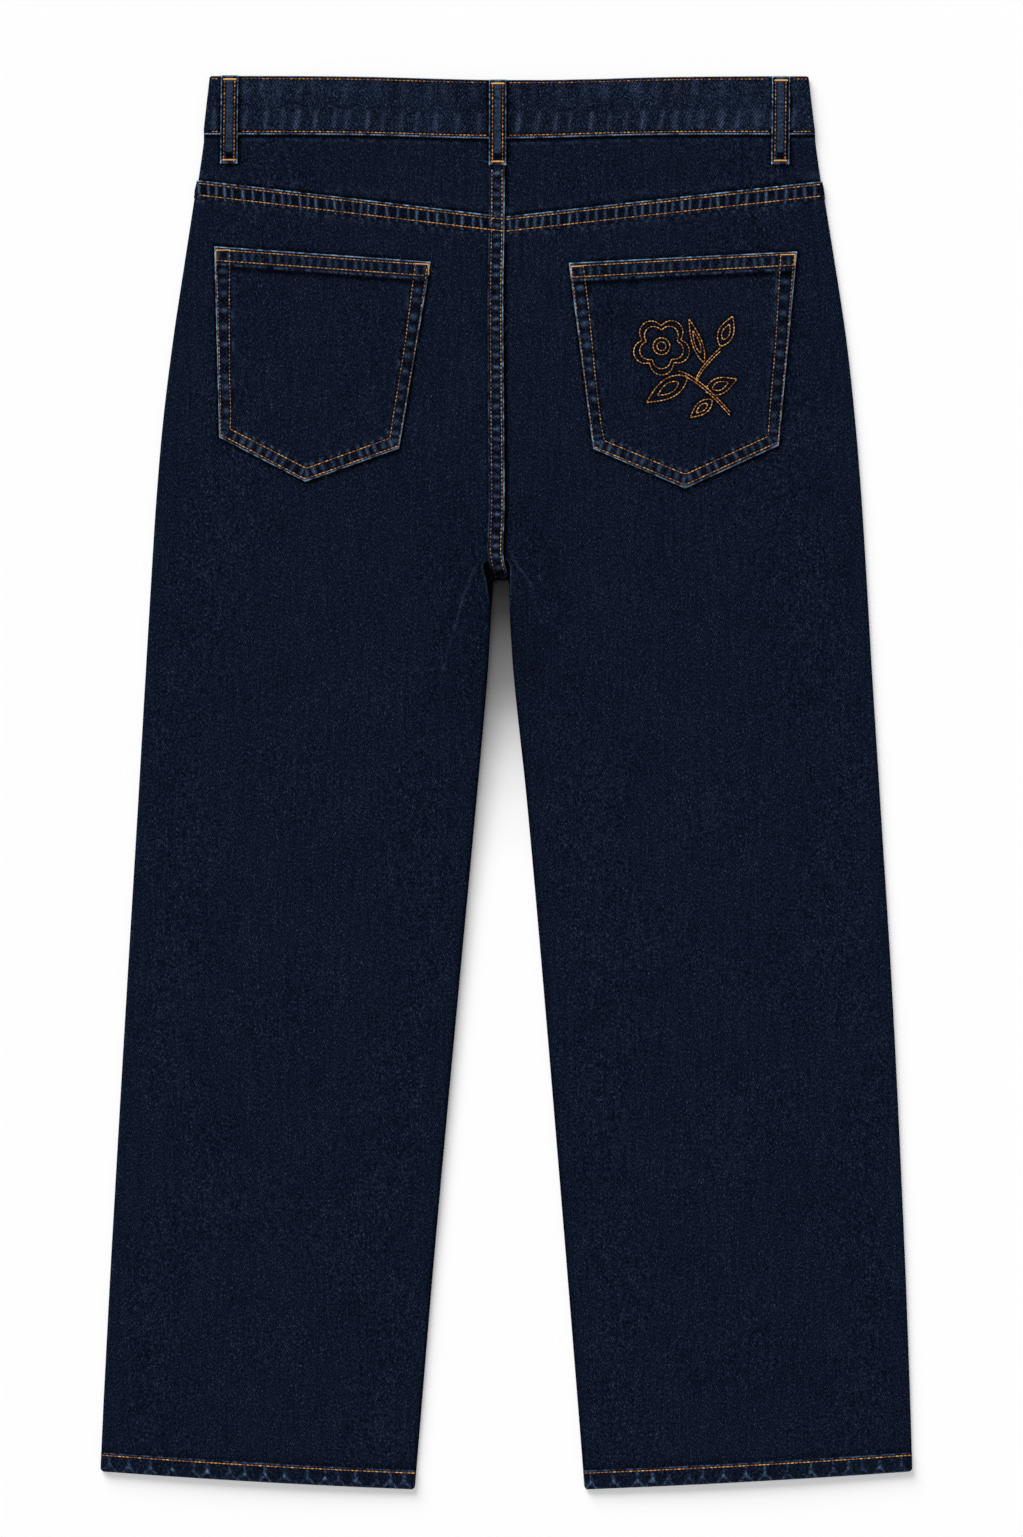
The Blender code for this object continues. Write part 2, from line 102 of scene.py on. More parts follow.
# The folds of the frame's cloth: side, start (x and down), end, width, and height, below 0 for a trough
folds = (
    ("left", -14, 362, -31, 402, 8, -1.1),
    ("left", -31, 402, -46, 486, 10, -0.7),
    ("left", -4, 380, -20, 440, 13, 0.5),
    ("left", -52, 392, -76, 462, 22, 0.5),
    ("left", -232, 470, -140, 520, 34, 0.35),
    ("left", -75, 640, -215, 700, 30, 0.4),
    ("left", -250, 790, -120, 850, 38, -0.45),
    ("left", -80, 930, -210, 900, 30, 0.35),
    ("right", 15, 360, 31, 392, 8, -1.1),
    ("right", 31, 392, 47, 452, 11, -0.6),
    ("right", 52, 372, 74, 440, 22, 0.5),
    ("right", 248, 500, 150, 545, 34, 0.35),
    ("right", 80, 610, 190, 668, 28, -0.4),
    ("right", 262, 720, 120, 800, 36, 0.45),
    ("right", 100, 950, 250, 905, 32, 0.35),
)
# Sharp pressed creases that run from the crotch down the thighs
creases = (
    ("left", -8.5, 345, -17, 360, 1.5, 0.30),
    ("left", -17, 360, -25.5, 381, 1.6, 0.45),
    ("left", -25.5, 381, -31.5, 402, 1.7, 0.45),
    ("left", -31.5, 402, -39.5, 432, 1.9, 0.32),
    ("left", -39.5, 432, -46, 476, 2.4, 0.16),
    ("right", 6.8, 342, 11.5, 352, 1.5, 0.30),
    ("right", 11.5, 352, 24.5, 371, 1.7, 0.42),
    ("right", 24.5, 371, 32, 398, 2.0, 0.30),
    ("right", 32, 398, 38, 440, 2.4, 0.15),
)

sides = ("left", "right")
opposite = {"left": "right", "right": "left"}


def outward(side):
    return -1 if side == "left" else 1


def mix(start, end, share):
    return start + (end - start) * share


def ease(start, end, value):
    share = np.clip((np.asarray(value, float) - start) / (end - start), 0, 1)
    return share * share * (3 - 2 * share)


def within(value, start, full, fades, end):
    # 1 between full and fades, easing to 0 at start and at end
    return ease(start, full, value) * (1 - ease(fades, end, value))


def hump(distance, width):
    return np.exp(-(np.asarray(distance, float) / width) ** 2)


def rowMarks(across, rows, width):
    return sum(hump(across - row, width) for row in rows)


def spaced(start, end, step):
    return np.linspace(start, end, max(int(round(abs(end - start) / step)), 1) + 1)


def alongTable(table, column, down):
    # a smooth curve through a table's rows, read at any distance down
    downs, values = np.array(table["down"], float), np.array(table[column], float)
    slopes = np.gradient(values, downs)
    slopes[1:-1] = (values[2:] - values[:-2]) / (downs[2:] - downs[:-2])
    down = np.clip(down, downs[0], downs[-1])
    index = np.clip(np.searchsorted(downs, down, side="right") - 1, 0, len(downs) - 2)
    span = downs[index + 1] - downs[index]
    share = (down - downs[index]) / span
    square, cube = share ** 2, share ** 3
    return ((2 * cube - 3 * square + 1) * values[index]
            + (cube - 2 * square + share) * span * slopes[index]
            + (3 * square - 2 * cube) * values[index + 1]
            + (cube - square) * span * slopes[index + 1])


def sideLine(side, down):
    return alongTable(sideEdges, side, down) + outward(side) * np.interp(down, outset["down"], outset[side])


def softNoise(x, y, size, seed):
    # smooth random values from -1 to 1 over the pattern, about size millimetres a blob
    lattice = np.random.RandomState(seed).uniform(-1, 1, (128, 128))
    x, y = [np.asarray(value, float) / size + 500 for value in (x, y)]
    column, row = [np.floor(value).astype(int) for value in (x, y)]
    shareX, shareY = [share * share * (3 - 2 * share) for share in (x - column, y - row)]

    def pick(rows, columns):
        return lattice[rows % 128, columns % 128]

    top = mix(pick(row, column), pick(row, column + 1), shareX)
    low = mix(pick(row + 1, column), pick(row + 1, column + 1), shareX)
    return mix(top, low, shareY)


def patchy(level, swing, x, y, size, seed, least=0):
    # how strongly a mark shows from place to place, from least to 1
    return np.clip(level + swing * softNoise(x, y, size, seed), least, 1)


def place(x, down, z):
    return np.stack([(x - pattern["middleX"]) * 0.001, (pattern["middleDown"] - down) * 0.001,
                     np.asarray(z) * 0.001], axis=-1)


def waistDip(x):
    return pattern["waistDip"] * hump(x, pattern["waistDipReach"])


def waistBottom(x):
    return pattern["waistHeight"] + waistDip(x)


def yokeLine(side, x):
    away = np.maximum(outward(side) * (x - pattern["halvesMeet"]), 0)
    return pattern["yokePoint"] - pattern["yokeSlope"][side] * away


def hemLine(side, x):
    start = sideLine(side, pattern["hemAtSide"])
    end = alongTable(inseams, side, pattern["hemAtInseam"])
    share = (x - start) / (end - start)
    bow = 4 * pattern["hemBow"] * share * (1 - share)
    return mix(pattern["hemAtSide"], pattern["hemAtInseam"], share) + bow


def nearLine(x, down, start, end):
    # the share of the way along a straight line, and the distance from it
    runX, runDown = end[0] - start[0], end[1] - start[1]
    share = ((x - start[0]) * runX + (down - start[1]) * runDown) / (runX ** 2 + runDown ** 2)
    share = np.clip(share, 0, 1)
    return share, np.hypot(x - start[0] - runX * share, down - start[1] - runDown * share)


def lineGap(x, down, start, end):
    # signed distance inside the line from start to end, for corners listed clockwise on the pattern
    runX, runDown = end[0] - start[0], end[1] - start[1]
    return ((down - start[1]) * runX - (x - start[0]) * runDown) / math.hypot(runX, runDown)


def outsideGap(x, down, corners):
    # how far outside a clockwise outline, below 0 inside it
    ends = list(corners[1:]) + [corners[0]]
    return np.maximum.reduce([-lineGap(x, down, start, end) for start, end in zip(corners, ends)])


def foldSum(side, rows, x, down):
    total = np.zeros(np.broadcast(x, down).shape)
    for foldSide, startX, startDown, endX, endDown, width, height in rows:
        if foldSide == side:
            off = nearLine(x, down, (startX, startDown), (endX, endDown))[1]
            total = total + height * hump(off, width)
    return total


def clothHeight(side, x, down):
    # the same cloth as the frame's, without its felled bands
    x, down = np.broadcast_arrays(np.asarray(x, float), np.asarray(down, float))
    seat = 1 - ease(*pattern["seatFades"], down)
    middle = mix(alongTable(inseams, side, down), pattern["halvesMeet"], seat)
    start = sideLine(side, down)
    across = np.clip((x - start) / (middle - start), 0, 1)
    crown = mix(pattern["legCrown"], pattern["seatCrown"], seat) * np.sin(np.pi * across)
    height = pattern["sideHeight"] + seat * pattern["seatRise"] * ease(0, 1, across) + crown
    return height + foldSum(side, folds, x, down)


def eitherHeight(x, down):
    isLeft = np.asarray(x) < pattern["halvesMeet"]
    return np.where(isLeft, clothHeight("left", x, down), clothHeight("right", x, down))


def waistFace(x):
    return eitherHeight(x, pattern["waistHeight"]) + pattern["waistStep"]


def turnDown(height, gap, radius):
    # lowers the cloth along a folded edge, gap millimetres inside it
    inside = np.clip(gap, 0, radius)
    return height - radius + np.sqrt(np.maximum(radius ** 2 - (radius - inside) ** 2, 0))


def unevenBars(length, pitch, seed, jitter=0.22):
    # centres, strengths and leans of the puckers along a seam
    draw = random.Random(seed)
    bars, along = [], pitch * draw.uniform(0.3, 0.8)
    while along < length:
        bars.append((along, draw.uniform(0.45, 1.0), draw.uniform(-0.12, 0.12), draw.uniform(0.8, 1.25)))
        along += pitch * (1 + draw.uniform(-jitter, jitter))
    return bars


def barMarks(bars, along, across, width):
    total = np.zeros(np.broadcast(along, across).shape)
    for centre, strength, lean, wide in bars:
        total = np.maximum(total, strength * hump(along - centre - lean * across, width * wide))
    return total


def puckers(length, pitch, seed, along, across, width, jitter=0.22):
    return barMarks(unevenBars(length, pitch, seed, jitter), along, across, width)


def seatShade(side, x, down, shade):
    amount, offset, reach = shade[side]
    return amount * hump(outward(side) * (x - alongTable(seatBand, side, down)) - offset, reach)


def shadeOf(x, down, corners, reach):
    # painted shadow: the line that a raised edge casts on the cloth, deeper below it and on its right
    gap = outsideGap(x - 0.2, down - 0.2, corners)
    return hump(np.maximum(gap - 0.2, 0), reach) * (gap > -3.0)


def makePiece(name, points, faces, material, marks):
    mesh = bpy.data.meshes.new(name)
    mesh.from_pydata(points, [], faces)
    for mark, values in marks.items():
        mesh.attributes.new(mark, "FLOAT", "POINT").data.foreach_set("value", values.ravel())
    mesh.shade_smooth()
    mesh.materials.append(material)
    piece = bpy.data.objects.new(name, mesh)
    bpy.context.scene.collection.objects.link(piece)
    return piece


def gridMesh(name, x, down, z, material, wearAndHighlight=0.0, paintedShade=0.0):
    index = np.arange(x.size).reshape(x.shape)
    quads = np.stack([index[:-1, :-1], index[1:, :-1], index[1:, 1:], index[:-1, 1:]], axis=-1).reshape(-1, 4)
    marks = {mark: np.array(np.broadcast_to(values, x.shape), np.float32)
             for mark, values in (("wearAndHighlight", wearAndHighlight), ("paintedShade", paintedShade))}
    return makePiece(name, place(x, down, z).reshape(-1, 3).tolist(), quads.tolist(), material, marks)


foldGaps = (0.6, 0.0, 0.0, 0.15, 0.5, 1.1, 1.8, 2.6)     # distances inside a folded edge
foldFoots = (1.0, 0.75, 0.0)                              # the first three hang down to the floor


def panelGrid(side, upper, lower, outerEdge, innerEdge, shares, body, offsets=0.0, outerWall=foldGaps,
              innerWall=foldGaps):
    # Rows run from the line upper to the line lower. Wall columns hang from the outer and the inner
    # edge, body columns share out the width between them. The distances from both edges come along.
    edges, walls = (outerEdge, innerEdge), (outerWall, innerWall)
    if side == "right":
        edges, walls = edges[::-1], walls[::-1]
    shares, offsets = shares[:, None], np.array(offsets, float).reshape(-1, 1)

    def rowEnd(edge):
        x = np.full(shares.shape, float(edge(np.array(400.0))))
        for _ in range(8):
            x = edge(mix(upper(x), lower(x), shares) + offsets)
        return x

    left, right = rowEnd(edges[0]), rowEnd(edges[1])
    gapLeft, gapRight = np.array(walls[0], float)[None, :], np.array(walls[1], float)[None, ::-1]
    first, last = left + gapLeft[:, -1:], right - gapRight[:, :1]
    x = np.concatenate([left + gapLeft, mix(first, last, body[None, :]), right - gapRight], axis=1)
    down = mix(upper(x), lower(x), shares) + offsets
    gaps = (x - left, right - x)
    return (x, down, *(gaps if side == "left" else gaps[::-1]))


def hangWalls(z, top, side, foot=pattern["wallFoot"]):
    # the first columns at a folded edge drop from its turn to the floor
    top, foot = np.broadcast_to(top, z.shape), np.broadcast_to(foot, z.shape)
    for order, share in enumerate(foldFoots):
        column = order if side == "left" else -1 - order
        z[:, column] = mix(top[:, column], foot[:, column], share)
    return z


def foldSide(height, gap, side):
    return hangWalls(turnDown(height, gap, pattern["turn"]), height - pattern["turn"], side)


def sinkRim(z, base, depth):
    # the outermost rows and columns go down into the cloth below
    for edge in (0, -1):
        z[edge], z[:, edge] = base[edge] - depth, base[:, edge] - depth
    return z


# Materials
def addNode(tree, kind, **settings):
    node = tree.nodes.new(kind)
    for name, value in settings.items():
        if name in node.inputs.keys():
            node.inputs[name].default_value = value
        else:
            setattr(node, name, value)
    return node


def blankMaterial(name, roughness=0.5, specular=0.5, metallic=0.0):
    material = bpy.data.materials.new(name)
    material.use_nodes = True
    tree = material.node_tree
    shader = tree.nodes["Principled BSDF"]
    for socket, value in (("Roughness", roughness), ("Specular IOR Level", specular), ("Metallic", metallic)):
        shader.inputs[socket].default_value = value
    return material, tree, shader


def mathNode(tree, operation, first, second=None, third=None):
    node = tree.nodes.new("ShaderNodeMath")
    node.operation = operation
    for socket, value in zip(node.inputs, (first, second, third)):
        if value is None:
            continue
        if isinstance(value, (int, float)):
            socket.default_value = value
        else:
            tree.links.new(value, socket)
    return node.outputs[0]


def rampNode(tree, value, stops):
    ramp = tree.nodes.new("ShaderNodeValToRGB")
    while len(ramp.color_ramp.elements) < len(stops):
        ramp.color_ramp.elements.new(0.5)
    for stop, (position, shade) in zip(ramp.color_ramp.elements, stops):
        stop.position = position
        stop.color = shade if isinstance(shade, tuple) else (shade, shade, shade, 1)
    tree.links.new(value, ramp.inputs["Fac"])
    return ramp.outputs["Color"]


def turnedNode(tree, texture, stretch=(1, 1, 1), turned=0.0):
    mapping = addNode(tree, "ShaderNodeMapping", Scale=stretch, Rotation=(0, 0, math.radians(turned)))
    tree.links.new(addNode(tree, "ShaderNodeTexCoord").outputs["Object"], mapping.inputs["Vector"])
    tree.links.new(mapping.outputs[0], texture.inputs["Vector"])
    return texture.outputs["Fac"]


def noiseNode(tree, scale, detail, rough=0.5, stretch=(1, 1, 1), turned=0.0):
    texture = addNode(tree, "ShaderNodeTexNoise", Scale=scale, Detail=detail, Roughness=rough)
    return turnedNode(tree, texture, stretch, turned)


def markNode(tree, mark):
    return addNode(tree, "ShaderNodeAttribute", attribute_name=mark).outputs["Fac"]


def bumpNode(tree, shader, height, strength, distance):
    bump = addNode(tree, "ShaderNodeBump", Strength=strength, Distance=distance)
    tree.links.new(height, bump.inputs["Height"])
    tree.links.new(bump.outputs["Normal"], shader.inputs["Normal"])


def mixNode(tree, shader, amount, first, second, kind="MIX"):
    blend = addNode(tree, "ShaderNodeMix", data_type="RGBA", blend_type=kind)
    for socket, value in ((0, amount), (6, first), (7, second)):
        if isinstance(value, (float, tuple)):
            blend.inputs[socket].default_value = value
        else:
            tree.links.new(value, blend.inputs[socket])
    tree.links.new(blend.outputs[2], shader.inputs["Base Color"])


denimLook = {
    "black": (0.0003, 0.0004, 0.0007, 1),
    "deep": (0.0010, 0.0019, 0.0056, 1),
    "base": (0.0032, 0.0056, 0.0145, 1),
    "light": (0.0095, 0.0160, 0.0350, 1),
    "fleck": (0.0300, 0.0480, 0.0860, 1),
    "faded": (0.130, 0.215, 0.385, 1),   # lightly worn places keep more of the dye; the painted highlight on the crease ridges takes this colour too
    "worn": (0.225, 0.375, 0.520, 1),
    "grainSize": 0.0012,
    "grainShape": (1.15, 0.85, 1),
    "twillPitch": 0.0015,
    "twillAngle": -27,
    "fleckSize": 0.0009,
    "fleckShape": (1.5, 0.62, 1),
    "fleckFrom": 0.565,
    "streakScale": 700,
    "cloudScale": 22,
    "fineScale": 1300,
    "flecks": 2.6,
    "level": 0.358,
    "grain": 1.85,
    "streak": 0.30,
    "cloud": 0.12,
    "twill": 0.22,
    "hatch": 0.5,
    "shading": 0.42,                     # how much the painted shade takes off
    "yarnContrast": (4.6, 0.55),         # how the grain breaks up the worn places
    "yarnLeast": 0.02,
    "edgeKeep": 0.50,                    # what a strong mark keeps of its colour all over
    "bump": (0.45, 0.00025),
}


def denimMaterial(name, lift=0.0, **changes):
    look = dict(denimLook, **changes)
    material, tree, shader = blankMaterial(name, roughness=0.9, specular=0.02)
    calc, noise = partial(mathNode, tree), partial(noiseNode, tree)
    grain = noise(1 / look["grainSize"], 3.0, 0.62, look["grainShape"], -38)
    streak = noise(look["streakScale"], 2.0, 0.5, (1, 0.05, 1))
    cloud = noise(look["cloudScale"], 3.0, 0.55)
    fine = noise(look["fineScale"], 2.0, 0.6)
    flecks = noise(1 / look["fleckSize"], 1.0, 0.5, look["fleckShape"], 33)
    wave = addNode(tree, "ShaderNodeTexWave", Scale=0.314 / look["twillPitch"], Distortion=1.2,
                   **{"Detail": 1.0, "Detail Scale": 2.0})
    twill = turnedNode(tree, wave, turned=look["twillAngle"])
    wearAndHighlight, paintedShade = markNode(tree, "wearAndHighlight"), markNode(tree, "paintedShade")

    tone = look["level"] + lift
    for value, part in ((grain, "grain"), (streak, "streak"), (cloud, "cloud"), (twill, "twill")):
        tone = calc("MULTIPLY_ADD", calc("SUBTRACT", value, 0.5), look[part], tone)
    bright = calc("MAXIMUM", calc("SUBTRACT", flecks, look["fleckFrom"]), 0.0)
    tone = calc("MULTIPLY_ADD", bright, look["flecks"], tone)
    # painted shade: the shade mark lowers the tone, down to near black in the deepest shadows
    tone = calc("SUBTRACT", tone, calc("MULTIPLY", paintedShade, look["shading"]))
    stops = ((0.0, "black"), (0.12, "deep"), (0.42, "base"), (0.72, "light"), (0.95, "fleck"))
    dyed = rampNode(tree, tone, [(position, look[shade]) for position, shade in stops])

    # worn places show the undyed yarn, broken up by the grain of the cloth; the painted highlight on the crease
    # ridges is mixed in the same way
    broken = calc("ADD", calc("MULTIPLY", grain, 0.60), calc("MULTIPLY", fine, 0.40))
    broken = calc("MULTIPLY_ADD", calc("SUBTRACT", broken, 0.5), *look["yarnContrast"])
    hatch = calc("MULTIPLY_ADD", twill, look["hatch"], 1 - look["hatch"] / 2)
    broken = calc("MULTIPLY", calc("MAXIMUM", broken, look["yarnLeast"]), hatch)
    edgeKeep = calc("MULTIPLY", calc("MULTIPLY", wearAndHighlight, wearAndHighlight), look["edgeKeep"])
    worn = calc("ADD", calc("MULTIPLY", wearAndHighlight, broken), edgeKeep)
    worn = calc("MINIMUM", calc("MAXIMUM", worn, 0.0), 1.0)
    yarn = rampNode(tree, wearAndHighlight, ((0.2, look["faded"]), (0.65, look["worn"])))
    mixNode(tree, shader, worn, dyed, yarn)
    bumpNode(tree, shader, calc("ADD", calc("MULTIPLY", twill, 0.5), grain), *look["bump"])
    return material


threadLook = {
    "shade": (0.012, 0.006, 0.004, 1),
    "dull": (0.15, 0.056, 0.016, 1),
    "copper": (0.45, 0.198, 0.049, 1),
    "bright": (0.79, 0.425, 0.125, 1),
}
paleLook = {
    "shade": (0.012, 0.005, 0.004, 1),
    "dull": (0.080, 0.040, 0.024, 1),
    "copper": (0.28, 0.148, 0.066, 1),
    "bright": (0.50, 0.320, 0.165, 1),
}


def threadMaterial(name, look):
    material, tree, shader = blankMaterial(name, roughness=0.55, specular=0.3)
    calc, fuzz = partial(mathNode, tree), noiseNode(tree, 2200, 2.0)
    mixed = calc("MULTIPLY_ADD", calc("SUBTRACT", fuzz, 0.5), 0.9, markNode(tree, "tone"))
    # the ramp only reads values from 0, so the stops and the tone are moved up together
    stops = ((-0.6, "shade"), (0.1, "dull"), (0.5, "copper"), (0.95, "bright"))
    spun = rampNode(tree, calc("MULTIPLY_ADD", mixed, 0.6, 0.4),
                    [(0.6 * position + 0.4, look[shade]) for position, shade in stops])
    tree.links.new(spun, shader.inputs["Base Color"])
    bumpNode(tree, shader, fuzz, 0.5, 0.0002)
    return material


legDenim, yokeDenim, pocketDenim = [denimMaterial(name) for name in ("legDenim", "yokeDenim", "pocketDenim")]
waistDenim = denimMaterial("waistDenim", lift=0.030, hatch=1.6, twillPitch=0.0018, twillAngle=36, cloud=0.50,
                           grain=2.1, flecks=4.5, faded=(0.150, 0.205, 0.370, 1), worn=(0.290, 0.435, 0.600, 1))
loopDenim = denimMaterial("loopDenim", lift=0.05)
thread, paleThread = threadMaterial("thread", threadLook), threadMaterial("paleThread", paleLook)
print("materials made")


def dress(piece, nodes=()):
    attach(piece, "root")
    if nodes:
        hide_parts(*nodes)
    return piece


# Back legs
leg = {
    "columns": (80, 52),          # body columns over the side part and over the part by the inseam
    "fineShare": 62 / 250,
    "ripple": (0.10, 0.05),       # small unevenness of the cloth, broad and narrow
    "underYoke": 3.5,
    "underHem": 3.0,
    "creaseHighlight": 0.15,
    "bandWear": 0.20,             # faded bars under the yoke's band
    "barPitch": 6.9,
    "inseamWear": 0.14,
    "foldShade": 0.5,
    "bandShade": 0.5,
    "hemShade": 0.35,
    "pocketShade": 1.3,
    "wallShade": (1.6, 0.9),      # on the inner fold, above and below the crotch
    "crotchShade": 0.12,
    "crotchX": {"left": -14, "right": 20},
    "seatShade": {"left": (0.3, 0.0, 1.6), "right": (1.8, 0.5, 1.6)},     # amount, offset, reach
}


def innerLine(side, down):
    under = -0.5 * outward(side)                       # above the slit the panel ends under the seat band
    fold = np.where(down < 420, alongTable(innerFolds, side, down), alongTable(inseams, side, down))
    return np.where(down < pattern["slitTop"], -1.0 + under, fold)


def backLeg(side):
    def upper(x):
        return yokeLine(side, x) + leg["underYoke"]

    def lower(x):
        return hemLine(side, x) - leg["underHem"]

    downs = np.concatenate([spaced(106, 340, 2.6), spaced(340, 480, 1.3)[1:], spaced(480, 1027, 2.8)[1:]])
    inner = np.where(downs < 354, pattern["halvesMeet"], alongTable(inseams, side, downs))
    shares = (downs - upper(inner)) / (lower(inner) - upper(inner))
    shares = np.clip((shares - shares[0]) / (shares[-1] - shares[0]), 0, 1)
    split = 1 - leg["fineShare"]
    body = np.concatenate([np.linspace(0, split, leg["columns"][0], endpoint=False)[1:],
                           np.linspace(split, 1, leg["columns"][1], endpoint=False)])
    if side == "right":
        body = 1 - body[::-1]
    x, down, gapSide, gapInner = panelGrid(side, upper, lower, partial(sideLine, side), partial(innerLine, side),
                                           shares, body)
    crease = foldSum(side, creases, x, down)
    height = clothHeight(side, x, down) + crease
    height += leg["ripple"][0] * softNoise(x, down, 26, 3) + leg["ripple"][1] * softNoise(x, down, 9, 4)
    z = foldSide(height, gapSide, side)
    aboveSlit = down < pattern["slitTop"]
    tucked = height - 0.5 * (1 - ease(0, 9, gapInner))
    crisp = mix(0.9, pattern["turn"], ease(372, 430, down))
    inside = np.where(aboveSlit, tucked, turnDown(height, gapInner, crisp))
    z = np.where(gapInner < 10, np.minimum(inside, z), z)
    z = hangWalls(z, height - np.where(aboveSlit, 0.5, crisp), opposite[side],
                  np.where(aboveSlit, height - 1.6, pattern["wallFoot"]))

    underBand = down - yokeLine(side, x)
    bars = puckers(260, leg["barPitch"], 31 + sides.index(side), np.abs(x - pattern["halvesMeet"]), underBand, 1.5)
    # painted highlight: the lit ridges of the pressed creases are lightened like worn places
    wearAndHighlight = leg["creaseHighlight"] * np.clip(crease / 0.45, 0, 1) ** 4 * patchy(0.7, 0.3, x, down, 5, 8)
    wearAndHighlight += leg["bandWear"] * bars * hump(underBand - 14.0, 2.2)
    wearAndHighlight += leg["inseamWear"] * hump(gapInner - 0.5, 0.6) * hump(down - 362, 14)
    nearCrotch = hump(np.hypot(x - leg["crotchX"][side], (down - 400) * 0.4), 34)
    paintedShade = leg["foldShade"] * hump(gapInner, 2.0) * (down > 385) + leg["bandShade"] * hump(underBand - 13, 2.0)
    paintedShade += leg["crotchShade"] * nearCrotch + leg["hemShade"] * hump(hemLine(side, x) - 14.5 - down, 2.5)
    paintedShade += leg["pocketShade"] * shadeOf(x, down, pockets[side]["corners"], 1.3)
    paintedShade += seatShade(side, x, down, leg["seatShade"]) * (down < 360)
    wall = slice(-3, None) if side == "left" else slice(0, 3)
    paintedShade[:, wall] = np.where(down[:, :1] < 420, *leg["wallShade"])
    return gridMesh(f"backLeg.{side}", x, down, z, legDenim, wearAndHighlight, paintedShade)


# A felled band lies over its seam: one edge is a raised fold, the other sinks into the panel
def bandProfile(across, width, raised, rows, foldRadius=0.55):
    rise = raised * np.sqrt(np.clip(1 - (1 - np.clip(across / foldRadius, 0, 1)) ** 2, 0, 1))
    fade = 1 - ease(width - 2.6, width, across)
    profile = rise * mix(0.55, 1.0, hump(across, width * 0.55)) * fade - 0.12 * (1 - fade)
    return profile - 0.22 * rowMarks(across, rows, 0.55) * fade


yokeBand = {
    "width": 14.6,
    "raised": 1.25,
    "rows": (2.4, 10.9),          # the two rows of stitches, below the fold
    "pitch": 6.75,
    "puff": 0.28,
    "endX": {"left": 3.6, "right": 4.4},
    "stitched": {"left": (-218.5, 4.2), "right": (235.5, 6.2)},
    "edgeWear": 0.42,
    "barWear": 0.48,
    "tuftWear": 0.46,
    "shade": 0.42,
    "rowShade": 0.5,
}


def yokeBandPiece(side):
    rows = yokeBand["rows"]

    def upper(x):
        return yokeLine(side, x) - 0.3

    across = np.array([0, 0, 0.08, 0.25, 0.5, 0.8, 1.15, 1.55, 2.0, 2.4, 2.8, 3.3, 4.0, 4.8, 5.6, 6.4,
                       7.2, 8.0, 8.8, 9.5, 10.1, 10.5, 10.9, 11.3, 11.8, 12.4, 13.0, 13.8, 14.6])
    x, down, gapSide, _ = panelGrid(side, upper, upper, partial(sideLine, side),
                                    lambda down: down * 0 + yokeBand["endX"][side], across * 0,
                                    spaced(0, 1, 0.0042)[1:-1], across, innerWall=(0, 0.5))
    across = across[:, None]
    base = clothHeight(side, x, down)
    bars = puckers(240, yokeBand["pitch"], 11 + sides.index(side), np.abs(x - pattern["halvesMeet"]),
                   across - 6.6, 0.78)
    between = within(across, rows[0] + 0.2, rows[0] + 1.6, rows[1] - 1.4, rows[1] - 0.1)
    profile = bandProfile(across, yokeBand["width"], yokeBand["raised"], rows)
    profile = profile * (1 + 0.10 * softNoise(x, 0, 5.5, 17)) + yokeBand["puff"] * bars * between
    height = base + profile
    height[0] = base[0] - 0.9
    bulge = 0.7 * hump(gapSide, 1.2) * np.clip(profile, 0, 1.4) * outward(side)
    edgeLine = hump(across - 0.55, 0.50) * (yokeBand["edgeWear"] + 0.50 * bars + 0.45 * softNoise(x, 0, 2.0, 21))
    wearAndHighlight = np.clip(edgeLine, 0, 0.9) + yokeBand["barWear"] * bars * between
    wearAndHighlight += yokeBand["tuftWear"] * hump(across - 12.6, 0.9) * bars
    paintedShade = yokeBand["shade"] * between * (1 - bars) + yokeBand["rowShade"] * rowMarks(across, rows, 0.7)
    return gridMesh(f"yokeBand.{side}", x + bulge, down, foldSide(height, gapSide, side), legDenim, wearAndHighlight, paintedShade)


seatSeam = {
    "raised": 1.35,
    "width": 12.0,
    "rows": (2.3, 9.9),           # from the band's soft left edge
    "top": 38.0,
    "stitched": (67.5, 366.5),
    "pitch": 7.6,
    "puff": 0.25,
    "edgeWear": 0.56,
    "softEdgeWear": 0.34,
    "spotWear": 0.46,
    "patchWear": 0.14,            # only above the yoke seam
    "shade": 0.28,
    "rowShade": 0.5,
}


